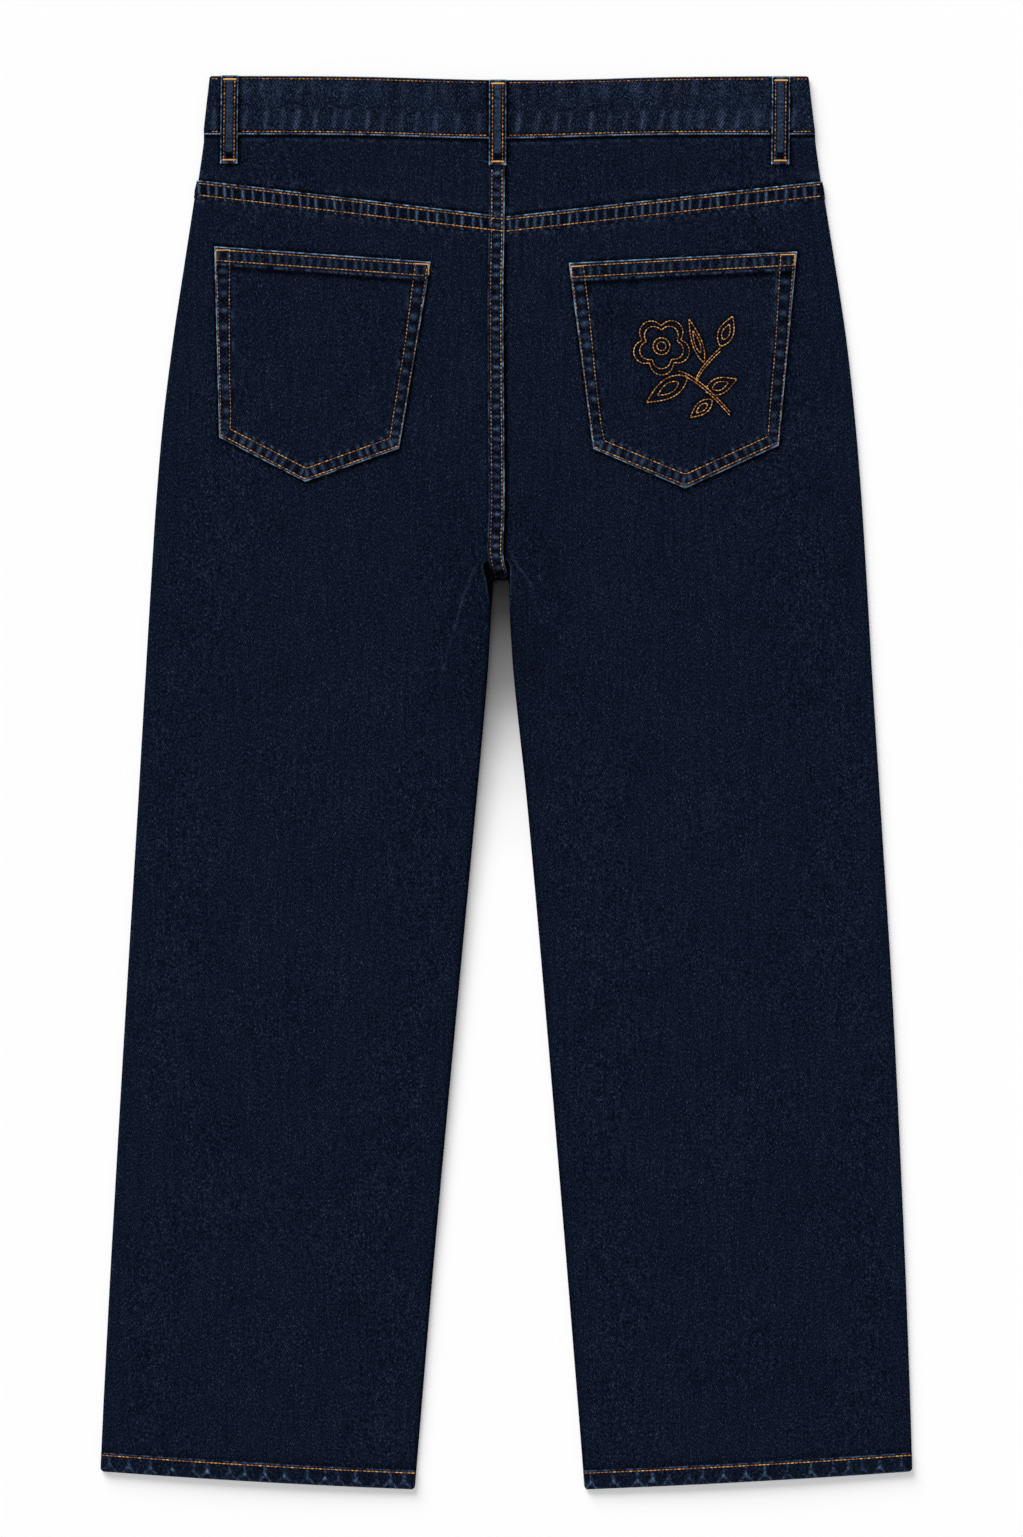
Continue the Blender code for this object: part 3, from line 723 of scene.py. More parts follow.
def seatBandPiece():
    width = seatSeam["width"]
    downs = np.concatenate([spaced(seatSeam["top"], 345, 1.0), spaced(345, 367.4, 0.6)[1:]])
    fromRight = np.array([0, 0, 0.08, 0.25, 0.5, 0.85, 1.3, 1.7, 2.1, 2.6, 3.2, 4.0, 4.8, 5.6, 6.4, 7.2,
                          7.9, 8.4, 8.9, 9.4, 9.9, 10.6, 11.3, 12.0])[::-1]
    down, across = np.meshgrid(downs, fromRight, indexing="ij")
    left, right = alongTable(seatBand, "left", down), alongTable(seatBand, "right", down)
    x = right - across / width * (right - left)
    base = np.maximum(eitherHeight(x, np.minimum(down, 340)), 0)
    bars = puckers(330, seatSeam["pitch"], 7, down - 38, across - 6, 1.1)
    rows = [width - row for row in seatSeam["rows"][::-1]]
    between = within(across, rows[0] + 0.2, rows[0] + 1.4, rows[1] - 1.2, rows[1])
    profile = bandProfile(across, 12.4, seatSeam["raised"], rows, foldRadius=0.6)
    profile = profile * (1 + 0.10 * softNoise(down, 0, 6, 27)) + seatSeam["puff"] * bars * between
    crossing = hump(down - 108.5, 6.5)                 # the yoke seam passes underneath
    height = base + profile + 0.45 * crossing
    height[:, -1] = base[:, -1] - 0.9
    under = ease(352, 367.4, down)                     # at the crotch the band curls under
    height = mix(height, 0.4, under ** 1.6)
    edgeLine = np.clip(hump(across - 0.6, 0.52) * (seatSeam["edgeWear"] + 0.50 * softNoise(down, 0, 3.0, 23)), 0, 1)
    softEdge = hump(across - 11.6, 0.5) * patchy(0.35, 0.6, down, 0, 4.5, 24)
    spots = bars * between * hump(across - 5.6, 2.6)
    patches = between * (down < 106) * patchy(0, 1, down, across, 3.0, 29)
    wearAndHighlight = (edgeLine + seatSeam["spotWear"] * spots + seatSeam["softEdgeWear"] * softEdge
            + seatSeam["patchWear"] * patches) * (1 - 0.8 * under)
    paintedShade = seatSeam["shade"] * between * (1 - bars) + seatSeam["rowShade"] * rowMarks(across, rows, 0.7) + under
    return gridMesh("seatBand", x, down, height, legDenim, wearAndHighlight, paintedShade)


hem = {
    "width": 14.2,
    "raised": 0.95,
    "row": 11.9,                  # the row of stitches, above the hem's edge
    "pitch": 13.6,
    "lineWear": 0.30,
    "barWear": 0.42,
    "forkWear": 0.38,             # each bar forks towards the hem's edge
    "edgeWear": 0.18,
    "shade": 0.08,
    "rowShade": 0.6,
    "least": 0.1,                 # no point lies lower than this
}


def hemPiece(side):
    up = np.array([14.6, 14.2, 13.9, 13.6, 13.3, 13.0, 12.6, 12.3, 11.9, 11.5, 11.1, 10.4, 9.6, 8.8, 8.0, 7.2,
                   6.4, 5.6, 4.8, 4.0, 3.2, 2.4, 1.7, 1.1, 0.6, 0.25, 0.0, 0.0, 0.5, 4.0])
    line = partial(hemLine, side)
    x, down, gapSide, gapInner = panelGrid(side, line, line, partial(sideLine, side), partial(innerLine, side),
                                           up * 0, spaced(0, 1, 0.0046)[1:-1], -up)
    last, up = len(up) - 4, up[:, None]
    inBand = ease(hem["row"], hem["row"] - 1.2, up)
    rise = hem["raised"] * ease(hem["width"], hem["width"] - 1.3, up) - 0.22 * hump(up - hem["row"], 0.55) - 0.08
    along = np.abs(x - sideLine(side, pattern["hemAtSide"]))
    bars = unevenBars(250, hem["pitch"], 41 + sides.index(side), 0.3)
    straight, forked = barMarks(bars, along, 0, 0.85), np.zeros(x.shape)
    for centre, strength, _, wide in bars:
        fork = 0.75 * np.maximum(6.2 - up, 0) * wide
        for way in (-1, 1):
            forked = np.maximum(forked, strength * hump(along - centre - way * fork, 0.85))
    speckle = patchy(0.65, 0.9, x, up, 1.3, 46)
    straight, forked = straight * speckle, forked * speckle
    height = clothHeight(side, x, down) + rise - 0.16 * inBand * np.maximum(straight, forked * 0.7)
    z = np.minimum(*[turnDown(height, gap, pattern["turn"]) for gap in (gapSide, gapInner)])
    for end in sides:
        z = hangWalls(z, height - pattern["turn"], end)
    for order, part in enumerate((1.0, 0.93, 0.75, 0.45)):       # the edge rolls under along the last rows
        z[last - 3 + order] = mix(z[last - 3 + order] - 1.4, z[last - 3 + order], part)
    for order, sink in enumerate((0.9, 1.9, 2.2)):
        z[last + 1 + order] = z[last] - sink
    wearAndHighlight = hem["lineWear"] * hump(up - 13.4, 0.55) * patchy(0.5, 0.7, x, 0, 1.7, 44)
    wearAndHighlight = wearAndHighlight + inBand * (hem["barWear"] * straight * ease(2.0, 4.5, up)
                            + hem["forkWear"] * forked * (1 - ease(5.5, 7.5, up)))
    wearAndHighlight += hem["edgeWear"] * hump(up - 0.4, 0.6) * patchy(0.5, 1, x, 0, 3, 45)
    paintedShade = hem["shade"] * inBand * (1 - np.maximum(straight, forked)) + hem["rowShade"] * hump(up - hem["row"], 0.7)
    rounding = 0.30 * np.maximum(2.2 - np.abs(up), 0) ** 2
    x = x - outward(side) * rounding * (hump(gapSide, 1.6) - hump(gapInner, 1.6))
    return gridMesh(f"hem.{side}", x, down, np.maximum(z, hem["least"]), legDenim, wearAndHighlight, paintedShade)


# Yokes
yoke = {
    "rows": 56,
    "innerEnd": -0.5,
    "underBands": 3.0,
    "ripple": (0.09, 0.04),
    "speckWear": 0.12,            # close under the waistband
    "lowWear": 0.08,
    "waistShade": 1.25,
    "bandShade": 1.1,
    "loopShade": 1.0,
    "seatShade": {"left": (0.3, 0.0, 1.6), "right": (1.2, 0.4, 1.7)},     # amount, offset, reach
}


def loopCorners(name):
    spec = loops[name]
    half, low = spec["width"] / 2, spec["x"] + spec["lean"]
    return [(spec["x"] - half, spec["top"]), (spec["x"] + half, spec["top"]), (low + half, spec["bottom"]),
            (low - half, spec["bottom"])]


def yokePiece(side):
    def upper(x):
        return waistBottom(x) - yoke["underBands"]

    def lower(x):
        return yokeLine(side, x) + yoke["underBands"]

    x, down, gapSide, _ = panelGrid(side, upper, lower, partial(sideLine, side),
                                    lambda down: down * 0 + yoke["innerEnd"], np.linspace(0, 1, yoke["rows"]),
                                    spaced(0, 1, 0.0068)[1:-1], innerWall=(0, 1.0))
    height = clothHeight(side, x, down) + yoke["ripple"][0] * softNoise(x, down, 22, 51)
    height += yoke["ripple"][1] * softNoise(x, down, 8, 52)
    z = foldSide(height, gapSide, side)
    fromWaist, toBand = down - waistBottom(x), yokeLine(side, x) - down
    z = np.maximum(z - 0.45 * hump(fromWaist + 2.2, 2.2) - 0.4 * hump(toBand + 2.2, 2.2), pattern["wallFoot"])
    wearAndHighlight = yoke["speckWear"] * patchy(0.35, 1, x, down * 0.3, 1.6, 53) * hump(fromWaist - 4.0, 0.9)
    wearAndHighlight += yoke["lowWear"] * patchy(0, 1, x, down, 3.5, 54) * hump(toBand - 5, 4)
    paintedShade = yoke["waistShade"] * hump(fromWaist - 0.4, 2.0) + yoke["bandShade"] * hump(toBand - 0.4, 1.8)
    paintedShade += seatShade(side, x, down, yoke["seatShade"])
    for name in loops:
        paintedShade += yoke["loopShade"] * shadeOf(x, down, loopCorners(name), 1.5)
    return gridMesh(f"yoke.{side}", x, down, z, yokeDenim, wearAndHighlight, paintedShade)


# Waistband
waist = {
    # how far its upper edge bows away from the dip, along the garment
    "bow": ((-180, 0.60), (-130, 0.55), (-60, 0.58), (-20, 0.66), (16, 0.45), (46, -0.20), (75, -0.50),
            (111, -0.18), (148, 0.12), (199, 0.40)),
    "stitched": ((-209.0, -204.2), (-187.0, -8.2), (8.2, 197.6), (215.4, 229.0)),     # between the loops
    "edgeRadius": 1.3,
    "rows": (2.2, 40.1),          # from its upper fold
    "ripple": 0.16,
    "closing": 23.0,              # where its two ends meet on the hidden front
    "edgeWear": (0.78, 0.40),     # on the lower and on the upper edge
    "streakWear": (0.215, 0.11),  # on the lower and on the upper half
    "rowShade": (0.6, 0.7),
    "middleShade": 0.30,
    "loopShade": 1.0,
}


def waistRim(x, across):
    return waistDip(x) + across - np.interp(x, *zip(*waist["bow"])) * (1 - ease(3, 14, across))


def waistbandPiece():
    high = pattern["waistHeight"] + 0.6
    across = np.concatenate([[0, 0.06, 0.25, 0.55, 0.95, 1.4], [1.8, 2.2, 2.7], spaced(3.4, 38.5, 1.0),
                             [39.1, 39.6, 40.1, 40.6, 41.1, 41.6, 42.0, 42.3, 42.5, high]])[:, None]
    drop = -turnDown(0, np.minimum(across, high - across), waist["edgeRadius"])
    arc = np.radians(np.linspace(-90, 90, 11))[None, :]
    turnX, arcX, arcZ = {}, {}, {}
    for side in sides:
        end = sideLine(side, across)
        half = waistFace(end - outward(side) * 2.4) / 2
        turnX[side] = end - outward(side) * half
        arcX[side] = turnX[side] + outward(side) * (half - drop) * np.cos(arc)
        arcZ[side] = half + (half - drop) * np.sin(arc)
    backX = mix(turnX["left"], turnX["right"], np.linspace(0, 1, 420)[None, 1:-1])
    steps = np.linspace(0, 1, 40)[None, :]
    frontLeftX = mix(waist["closing"] - 0.2, turnX["left"], steps[:, :-1])
    frontRightX = mix(turnX["right"], waist["closing"] + 0.2, steps[:, 1:])

    onBack, along = np.broadcast_to(across, backX.shape), backX + 214
    bars = [(at, strong, lean - 0.10, wide) for at, strong, lean, wide in unevenBars(470, 12.4, 61, 0.30)]
    streaks = barMarks(bars, along, onBack - 31, 1.7)
    upperStreaks = puckers(470, 17.0, 62, along, (onBack - 14) * 0.8, 2.6, 0.4)
    relief = waist["ripple"] * softNoise(backX, onBack, 18, 63) + 0.06 * softNoise(backX, onBack, 7, 64)
    relief = relief + 0.16 * streaks * hump(onBack - 33, 6.0)
    relief = relief - 0.24 * hump(onBack - waist["rows"][0], 0.6) - 0.26 * hump(onBack - waist["rows"][1], 0.6)
    flatZ = 0.02 + drop * 0.6
    x = np.concatenate([frontLeftX, arcX["left"], backX, arcX["right"][:, ::-1], frontRightX], axis=1)
    z = np.concatenate([flatZ + 0 * frontLeftX, arcZ["left"], waistFace(backX) + relief - drop,
                        arcZ["right"][:, ::-1], flatZ + 0 * frontRightX], axis=1)
    down = waistRim(x, across)
    pads = (0, 0), (frontLeftX.shape[1] + arc.size, frontRightX.shape[1] + arc.size)
    onTop = np.zeros(x.shape)
    onTop[:, frontLeftX.shape[1]:-frontRightX.shape[1]] = 1

    lowerEdge = hump(across - 41.8, 0.48) * patchy(0.75, 0.60, x, 0, 5, 65, 0.2)
    upperEdge = hump(across - 0.35, 0.5) * patchy(0.25, 0.5, x, 0, 4, 66)
    wearAndHighlight = onTop * (waist["edgeWear"][0] * lowerEdge + waist["edgeWear"][1] * upperEdge)
    wearAndHighlight += waist["streakWear"][0] * np.pad(streaks * within(onBack, 22.5, 26, 36, 40), pads)
    wearAndHighlight += waist["streakWear"][1] * np.pad(upperStreaks * hump(onBack - 9, 7), pads)
    paintedShade = sum(amount * hump(across - row, 0.8) for amount, row in zip(waist["rowShade"], waist["rows"]))
    paintedShade = onTop * (paintedShade + waist["middleShade"] * hump(x - loops["centre"]["x"], 26.0))
    for name in loops:
        paintedShade += waist["loopShade"] * onTop * shadeOf(x, down, loopCorners(name), 1.5)
    return gridMesh("waistbandCloth", x, down, z, waistDenim, wearAndHighlight, paintedShade)


# Pockets. The corners and the rows of stitches are places on the pattern.
pockets = {
    "left": {
        "corners": [(-206.9, 123.9), (-48.8, 135.3), (-72.0, 271.6), (-140.5, 295.9), (-203.3, 263.5)],
        "outer": [(-205.6, 127.0), (-204.2, 167.9), (-202.1, 246.7), (-202.3, 261.3), (-140.5, 293.9),
                  (-72.6, 269.8), (-68.5, 246.7), (-59.4, 194.2), (-51.9, 141.6), (-50.4, 137.3)],
        "inner": [(-195.6, 126.8), (-195.9, 167.9), (-195.7, 220.5), (-194.8, 246.7), (-195.3, 257.3),
                  (-139.6, 286.1), (-78.6, 264.1), (-75.9, 246.7), (-67.4, 194.2), (-60.7, 141.6), (-59.6, 136.9)],
        "top": [[(-205.6, 126.5), (-50.4, 137.7)], [(-205.6, 134.3), (-50.4, 145.6)]],
    },
    "right": {
        "corners": [(51.8, 136.1), (218.6, 127.6), (205.1, 269.4), (136.7, 300.8), (69.6, 271.8)],
        "outer": [(53.6, 139.0), (57.2, 167.9), (63.7, 220.5), (69.6, 264.3), (70.7, 270.5), (136.7, 298.1),
                  (204.6, 266.8), (206.2, 246.7), (211.2, 194.2), (216.0, 132.9), (216.9, 130.0)],
        "inner": [(62.4, 138.4), (66.2, 167.9), (71.3, 220.5), (75.6, 255.5), (77.8, 265.9), (137.0, 290.5),
                  (197.4, 262.7), (198.4, 246.7), (202.9, 194.2), (206.4, 132.9), (206.6, 130.2)],
        "top": [[(53.7, 138.7), (216.9, 129.6)], [(53.7, 146.7), (216.9, 137.7)]],
    },
}
pocketBuild = {
    "thickness": 1.25,
    "lift": 0.3,
    "hem": 12.9,
    "hemRaised": 0.75,
    "edgeRadius": 0.9,
    "edgeWear": 0.60,
    "cornerWear": 0.40,
    "hemWear": 0.55,
    "bandWear": 0.32,             # faded bars between the two rows at the sides
    "topWear": 0.24,
    "tuftWear": 0.20,
    "bandShade": 0.38,
    "rowShade": 0.5,
    "hemShade": 0.95,
    "motifShade": 0.80,
}
# A plain embroidered flower on the right pocket, one bloom on a bent stem with leaves and a bud
flower = {
    "x": 136.5, "down": 211.0, "pitch": 2.5, "thread": 0.36, "reach": 52,
    "bloom": (-17, -14),
    # each ring's radius, lobes, their depth and turn, and each leaf's base, tip and half width
    "rings": ((21.0, 5, 0.34, 0.3), (16.5, 5, 0.34, 0.3), (6.2, 0, 0, 0), (3.4, 0, 0, 0)),
    "leaves": (((2, 8), (-28, 27), 7.0), ((15, 19), (38, 10), 6.0), ((20, 25), (4, 38), 4.6),
               ((26, -14), (35, -36), 5.6), ((14, -2), (3, -34), 3.6)),
}


def motifLines():
    turns, bend = np.linspace(0, 2 * np.pi, 181), np.linspace(0, 1, 60)
    lines = []
    for radius, lobes, depth, turned in flower["rings"]:
        reach = radius * (1 - depth + depth * np.abs(np.cos(lobes * (turns - turned) / 2)) ** 0.7)
        ring = np.stack([reach * np.cos(turns), reach * np.sin(turns)], axis=1)
        lines.append(ring + flower["bloom"])
    for shift in (0, 2.6):                    # the stem, sewn twice
        lines.append(np.stack([-5 + 38 * bend, 4 + shift + 30 * bend ** 1.5], axis=1))
        lines.append(np.stack([8 + 18 * bend, 11 + shift - 24 * bend ** 0.7], axis=1))
    for base, tip, belly in flower["leaves"]:
        base, run = np.array(base, float), np.subtract(tip, base)
        aside = np.array([-run[1], run[0]]) / np.linalg.norm(run)
        for size in (1.0, 0.52):
            for way in (-1, 1):
                along = (1 - size) * 0.45 + size * bend
                swell = way * size * belly * np.sin(np.pi * bend ** 0.8)
                lines.append(base + run * along[:, None] + aside * swell[:, None])
    return [line + (flower["x"], flower["down"]) for line in lines]


def rowGap(x, down, points):
    # distance to the nearest point of a polyline, and how far along it that is
    best, nearest, run = np.full(x.shape, 1e9), np.zeros(x.shape), 0.0
    for start, end in zip(points, points[1:]):
        length = math.hypot(end[0] - start[0], end[1] - start[1])
        share, gap = nearLine(x, down, start, end)
        closer = gap < best
        best, nearest = np.where(closer, gap, best), np.where(closer, run + share * length, nearest)
        run += length
    return best, nearest


def motifMarks(x, down):
    # 1 under the embroidery's threads
    marks, spots = np.zeros(x.shape), [spot for line in motifLines() for spot in line]
    near = KDTree(len(spots))
    for spot in spots:
        near.insert((*spot, 0), 0)
    near.balance()
    inMotif = np.hypot(x - flower["x"], down - flower["down"]) < flower["reach"]
    marks[inMotif] = [hump(near.find((*spot, 0))[2], 1.9) for spot in np.stack([x, down], axis=-1)[inMotif]]
    return marks


def pocketPiece(side):
    spec, build, seed = pockets[side], pocketBuild, sides.index(side)
    topLeft, topRight, lowRight, point, lowLeft = corners = [np.array(corner) for corner in spec["corners"]]
    width, depth = np.linalg.norm(topRight - topLeft), np.linalg.norm(lowLeft - topLeft) + 16
    tip = (point[0] - lowLeft[0]) / (lowRight[0] - lowLeft[0])
    rimSteps = np.array([0, 0, 0.06, 0.22, 0.48, 0.85, 1.3, 1.8])
    across = np.sort(np.concatenate([rimSteps / width, spaced(2.4 / width, 1 - 2.4 / width, 1.05 / width),
                                     1 - rimSteps[::-1] / width]))
    across[np.argmin(np.abs(across - tip))] = tip
    hemSteps = np.array([11.6, 12.1, 12.5, 12.8, 13.1, 13.4, 13.9])
    downShare = np.concatenate([rimSteps / depth, spaced(2.4 / depth, 11.1 / depth, 0.95 / depth), hemSteps / depth,
                                spaced(14.8 / depth, 1 - 2.4 / depth, 1.05 / depth), 1 - rimSteps[::-1] / depth])
    s, t = across[None, :, None], downShare[:, None, None]
    lowEdge = np.where(s <= tip, mix(lowLeft, point, s / tip), mix(point, lowRight, (s - tip) / (1 - tip)))
    spots = mix(mix(topLeft, topRight, s), lowEdge, t)
    x, down = spots[..., 0], spots[..., 1]

    hemDown = lineGap(x, down, topLeft, topRight)
    rim = np.clip(-outsideGap(x, down, corners), 0, None)
    outerGap, outerRun = rowGap(x, down, spec["outer"])
    innerGap, _ = rowGap(x, down, spec["inner"])
    topGaps = [rowGap(x, down, points)[0] for points in spec["top"]]
    inHem = 1 - ease(build["hem"] - 0.5, build["hem"] + 0.4, hemDown)
    topBars = puckers(width, 6.6, 71 + seed, x - topLeft[0], hemDown - 6, 1.1)
    inTopRows = within(hemDown, 3.0, 4.4, 8.8, 10.2)
    inSideBand = (ease(12.5, 15, hemDown) * ease(0.3, 1.6, outerGap) * ease(0.3, 1.6, innerGap)
                  * (rim < innerGap + 11) * (outerGap + innerGap < 12.2))
    sideBars = hump(outerGap - 4.7, 2.7) * puckers(480, 10.0, 73 + seed, outerRun, 0, 1.7, 0.32)
    lowBars, lowPart = puckers(480, 6.7, 75 + seed, outerRun, 0, 1.2), ease(250, 262, down)
    bandBars = np.maximum(sideBars * (1 - lowPart), lowBars * lowPart)
    sunk = motifMarks(x, down) if side == "right" else 0

    base = clothHeight(side, x, down) + build["lift"]
    height = base + build["thickness"] + build["hemRaised"] * inHem
    height += 0.05 * softNoise(x, down, 14, 77) + 0.10 * softNoise(x, down, 40, 78)
    height += 0.30 * inSideBand + 0.22 * bandBars * inSideBand + 0.24 * topBars * inTopRows * inHem
    height -= 0.24 * sum(hump(gap, 0.6) for gap in (outerGap, innerGap, *topGaps)) + 0.20 * sunk
    z = turnDown(height, rim, build["edgeRadius"]) - 0.15 * hump(rim, 1.0)

    cornerGlow = sum(hump(np.hypot(x - corner[0], down - corner[1]), 3.0) for corner in corners)
    tufts = hump(innerGap - 2.0, 1.5) * (outerGap > 9.5) * (hemDown > 14)
    wearAndHighlight = hump(rim - 0.40, 0.42) * patchy(build["edgeWear"], 0.5, x * 0.6, down * 0.6, 2.0, 79)
    wearAndHighlight += build["cornerWear"] * cornerGlow * hump(rim - 1.0, 2.0)
    wearAndHighlight += build["hemWear"] * hump(hemDown - 12.8, 0.55) * patchy(0.45, 0.7, x, 0, 1.4, 80)
    wearAndHighlight += build["bandWear"] * bandBars * inSideBand + build["topWear"] * topBars * inTopRows
    wearAndHighlight += build["tuftWear"] * tufts * mix(patchy(0, 1, x, down, 6, 81), lowBars, lowPart)
    paintedShade = build["bandShade"] * np.maximum(inSideBand * (1 - bandBars), inTopRows * (1 - topBars))
    paintedShade += build["rowShade"] * (hump(outerGap, 0.8) + hump(innerGap, 0.8))
    paintedShade += build["hemShade"] * hump(hemDown - 15.2, 1.8) + build["motifShade"] * sunk
    return gridMesh(f"pocket.{side}", x, down, sinkRim(z, base, 0.25), pocketDenim, np.clip(wearAndHighlight, 0, 1), paintedShade)


# Belt loops
loops = {
    "left": {"x": -195.5, "lean": -0.8, "width": 12.8, "top": -0.8, "bottom": 63.6, "restsOn": 0.0},
    "centre": {"x": 0.0, "lean": -0.2, "width": 12.8, "top": 2.4, "bottom": 65.0, "restsOn": 1.35},
    "right": {"x": 206.8, "lean": -0.6, "width": 13.4, "top": 0.0, "bottom": 64.1, "restsOn": 0.0},
}
loopBuild = {
    "thickness": 1.5,
    "rows": (2.7, 10.2),
    "arch": 0.45,
    "settles": 9.0,
    "edgeRadius": 0.8,
    "tacks": (3.0, 2.7),          # the bar tacks, from the loop's top and from its bottom
    "edgeWear": 0.88,
    "frayWear": 0.45,
    "cornerWear": 0.50,
    "topWear": 0.60,
    "middleWear": (0.11, 0.13),
    "rowShade": 0.5,
    "lowShade": 1.1,
    "rimShade": 0.9,
}


def loopPiece(name):
    spec, build = loops[name], loopBuild
    top, bottom, half = spec["top"], spec["bottom"], spec["width"] / 2
    rimSteps = np.array([0, 0, 0.06, 0.22, 0.5, 0.9, 1.4])
    across = np.concatenate([rimSteps - half, spaced(2.0 - half, half - 2.0, 0.55), half - rimSteps[::-1]])
    ends = np.array([0, 0, 0.06, 0.25, 0.6])
    downs = np.concatenate([top + ends, spaced(top + 1.1, bottom - 1.1, 0.62), bottom - ends[::-1]])
    down, offset = np.meshgrid(downs, across, indexing="ij")
    x = spec["x"] + spec["lean"] * (down - top) / 65 + offset
    overBand = waistBottom(spec["x"]) + 0.6
    sink = (pattern["waistStep"] - spec["restsOn"]) * ease(overBand, overBand + build["settles"], down)
    share = np.clip((down - top) / (bottom - top), 0, 1)
    base = waistFace(spec["x"]) - sink + 0.3 + build["arch"] * np.sin(np.pi * share)
    rim, fromLeft = half - np.abs(offset), offset + half
    grooves = rowMarks(fromLeft, build["rows"], 0.55)
    between = within(fromLeft, 3.7, 4.6, 8.3, 9.2)
    ridges = puckers(70, 3.4, len(name) + 90, down - top, 0, 0.8)
    height = base + build["thickness"] + 0.10 * np.cos(np.pi * offset / half) - 0.22 * grooves
    height += 0.10 * between * ridges + 0.12 * softNoise(x, down, 9, 91)
    height -= 0.30 * hump(down - top - 3.0, 1.0) + 0.35 * hump(bottom - 2.6 - down, 1.0)
    z = turnDown(height, np.minimum(rim, np.minimum(down - top, bottom - down)), build["edgeRadius"])

    wearAndHighlight = build["edgeWear"] * hump(rim - 0.45, 0.33) * patchy(0.60, 0.7, down, offset, 1.7, 92)
    wearAndHighlight += build["frayWear"] * hump(bottom - down, 1.6) * patchy(0.45, 0.8, x, 0, 1.8, 93)
    wearAndHighlight += build["cornerWear"] * hump(rim - 0.7, 1.3) * hump(bottom - down - 1.0, 1.6)
    wearAndHighlight += build["topWear"] * hump(down - top, 0.9)
    wearAndHighlight += between * (build["middleWear"][0] + build["middleWear"][1] * ridges) * (down < bottom - 9)
    paintedShade = build["rowShade"] * grooves + build["lowShade"] * between * hump(bottom - 6 - down, 2.5)
    paintedShade += build["rimShade"] * hump(rim - 1.9, 0.8)
    return gridMesh(f"beltLoop.{name}", x, down, sinkRim(z, base, 0.2), loopDenim, np.clip(wearAndHighlight, 0, 1), paintedShade)


# Front panels, plain and flat on the floor
front = {
    "rows": 190,
    "inset": 1.4,                 # hidden inside the back panels' outline
    "rim": (0.3, 0.0, 0.3, 0.9),
    "thickness": 1.15,
    "rimHeight": 0.6,
    "floorHeight": 0.02,
    "crotchShade": 3.0,
}


def frontLeg(side):
    inset = -outward(side) * front["inset"]

    def sideEdge(down):
        return sideLine(side, down) + inset

    def innerEdge(down):
        seam = alongTable(seatBand, "right", np.minimum(down, 340))
        if side == "right":
            seam = np.maximum(seam + 0.3, 5.0)
        gap = alongTable(inseams, side, down)
        return np.where(down < pattern["crotch"] - 1.5, seam, gap - inset * ease(392, 410, down))

    def upper(x):
        return waistBottom(x) + 0.3

    def lower(x):
        return hemLine(side, x) - 1.2

    def closed(grid, under):
        around = np.concatenate([grid, under, grid[:, :1]], axis=1)
        return np.concatenate([around[:1], around, around[-1:]])

    x, down, _, _ = panelGrid(side, upper, lower, sideEdge, innerEdge, np.linspace(0, 1, front["rows"]),
                              spaced(0, 1, 0.02)[1:-1], outerWall=front["rim"], innerWall=front["rim"])
    z = np.full(x.shape, front["thickness"])
    z[:, 0] = z[:, -1] = front["floorHeight"]
    z[:, 1] = z[:, -2] = front["rimHeight"]
    under = slice(-4, 2, -1)
    x, down = [closed(grid, grid[:, under]) for grid in (x, down)]
    z = closed(z, np.full(z[:, under].shape, front["floorHeight"]))
    z[0] = z[-1] = front["floorHeight"]
    # painted shade on the front leg where it shows through the slit at the crotch
    shade = front["crotchShade"] * hump(np.hypot(x - 1, (down - 362) * 0.45), 17) * (z > 0.5)
    piece = gridMesh(f"frontLeg.{side}", x, down, z, legDenim, paintedShade=shade)
    work = bmesh.new()
    work.from_mesh(piece.data)
    bmesh.ops.remove_doubles(work, verts=work.verts, dist=1e-7)
    work.to_mesh(piece.data)
    work.free()
    return piece


made = {}
for side in sides:
    for build in (frontLeg, backLeg, hemPiece, yokePiece, yokeBandPiece, pocketPiece):
        piece = build(side)
        made[piece.name] = piece
for piece in (seatBandPiece(), waistbandPiece(), *[loopPiece(name) for name in loops]):
    made[piece.name] = piece
print("cloth made:", {name: len(piece.data.polygons) * 2 for name, piece in made.items()})


# Stitches: short lengths of thread that dip into the cloth at both ends
stitch = {
    "pitch": 2.95, "fill": 0.80, "radius": 0.39, "sides": 6, "stations": 6,
    "dip": {"thread": 0.34, "paleThread": 0.5},       # how much painted shade darkens a stitch's ends
    "tackStep": 0.5,
}
threads = {}


def clothTree(names):
    points, faces, start = [], [], 0
    for name in names:
        mesh = made[name].data
        co = np.empty(len(mesh.vertices) * 3, np.float32)
        mesh.vertices.foreach_get("co", co)
        corner = np.empty(len(mesh.loops), np.int32)
        mesh.loops.foreach_get("vertex_index", corner)
        points += co.reshape(-1, 3).tolist()
        faces += (corner.reshape(-1, 4) + start).tolist()
        start += len(mesh.vertices)
    return BVHTree.FromPolygons(points, faces)


def surfaceAt(tree, x, down):
    spot = place(np.array(x), np.array(down), np.array(0.0))
    hit = tree.ray_cast(Vector((spot[0], spot[1], 0.05)), Vector((0, 0, -1)))
    return hit[0].z * 1000 if hit[0] else None


def walk(points, pitch):
    # evenly spaced places along a polyline, a stitch length apart
    points = np.array(points, float)
    marks = np.concatenate([[0], np.cumsum(np.linalg.norm(np.diff(points, axis=0), axis=1))])
    along = spaced(0, marks[-1], pitch)
    return np.stack([np.interp(along, marks, points[:, axis]) for axis in (0, 1)], axis=1)


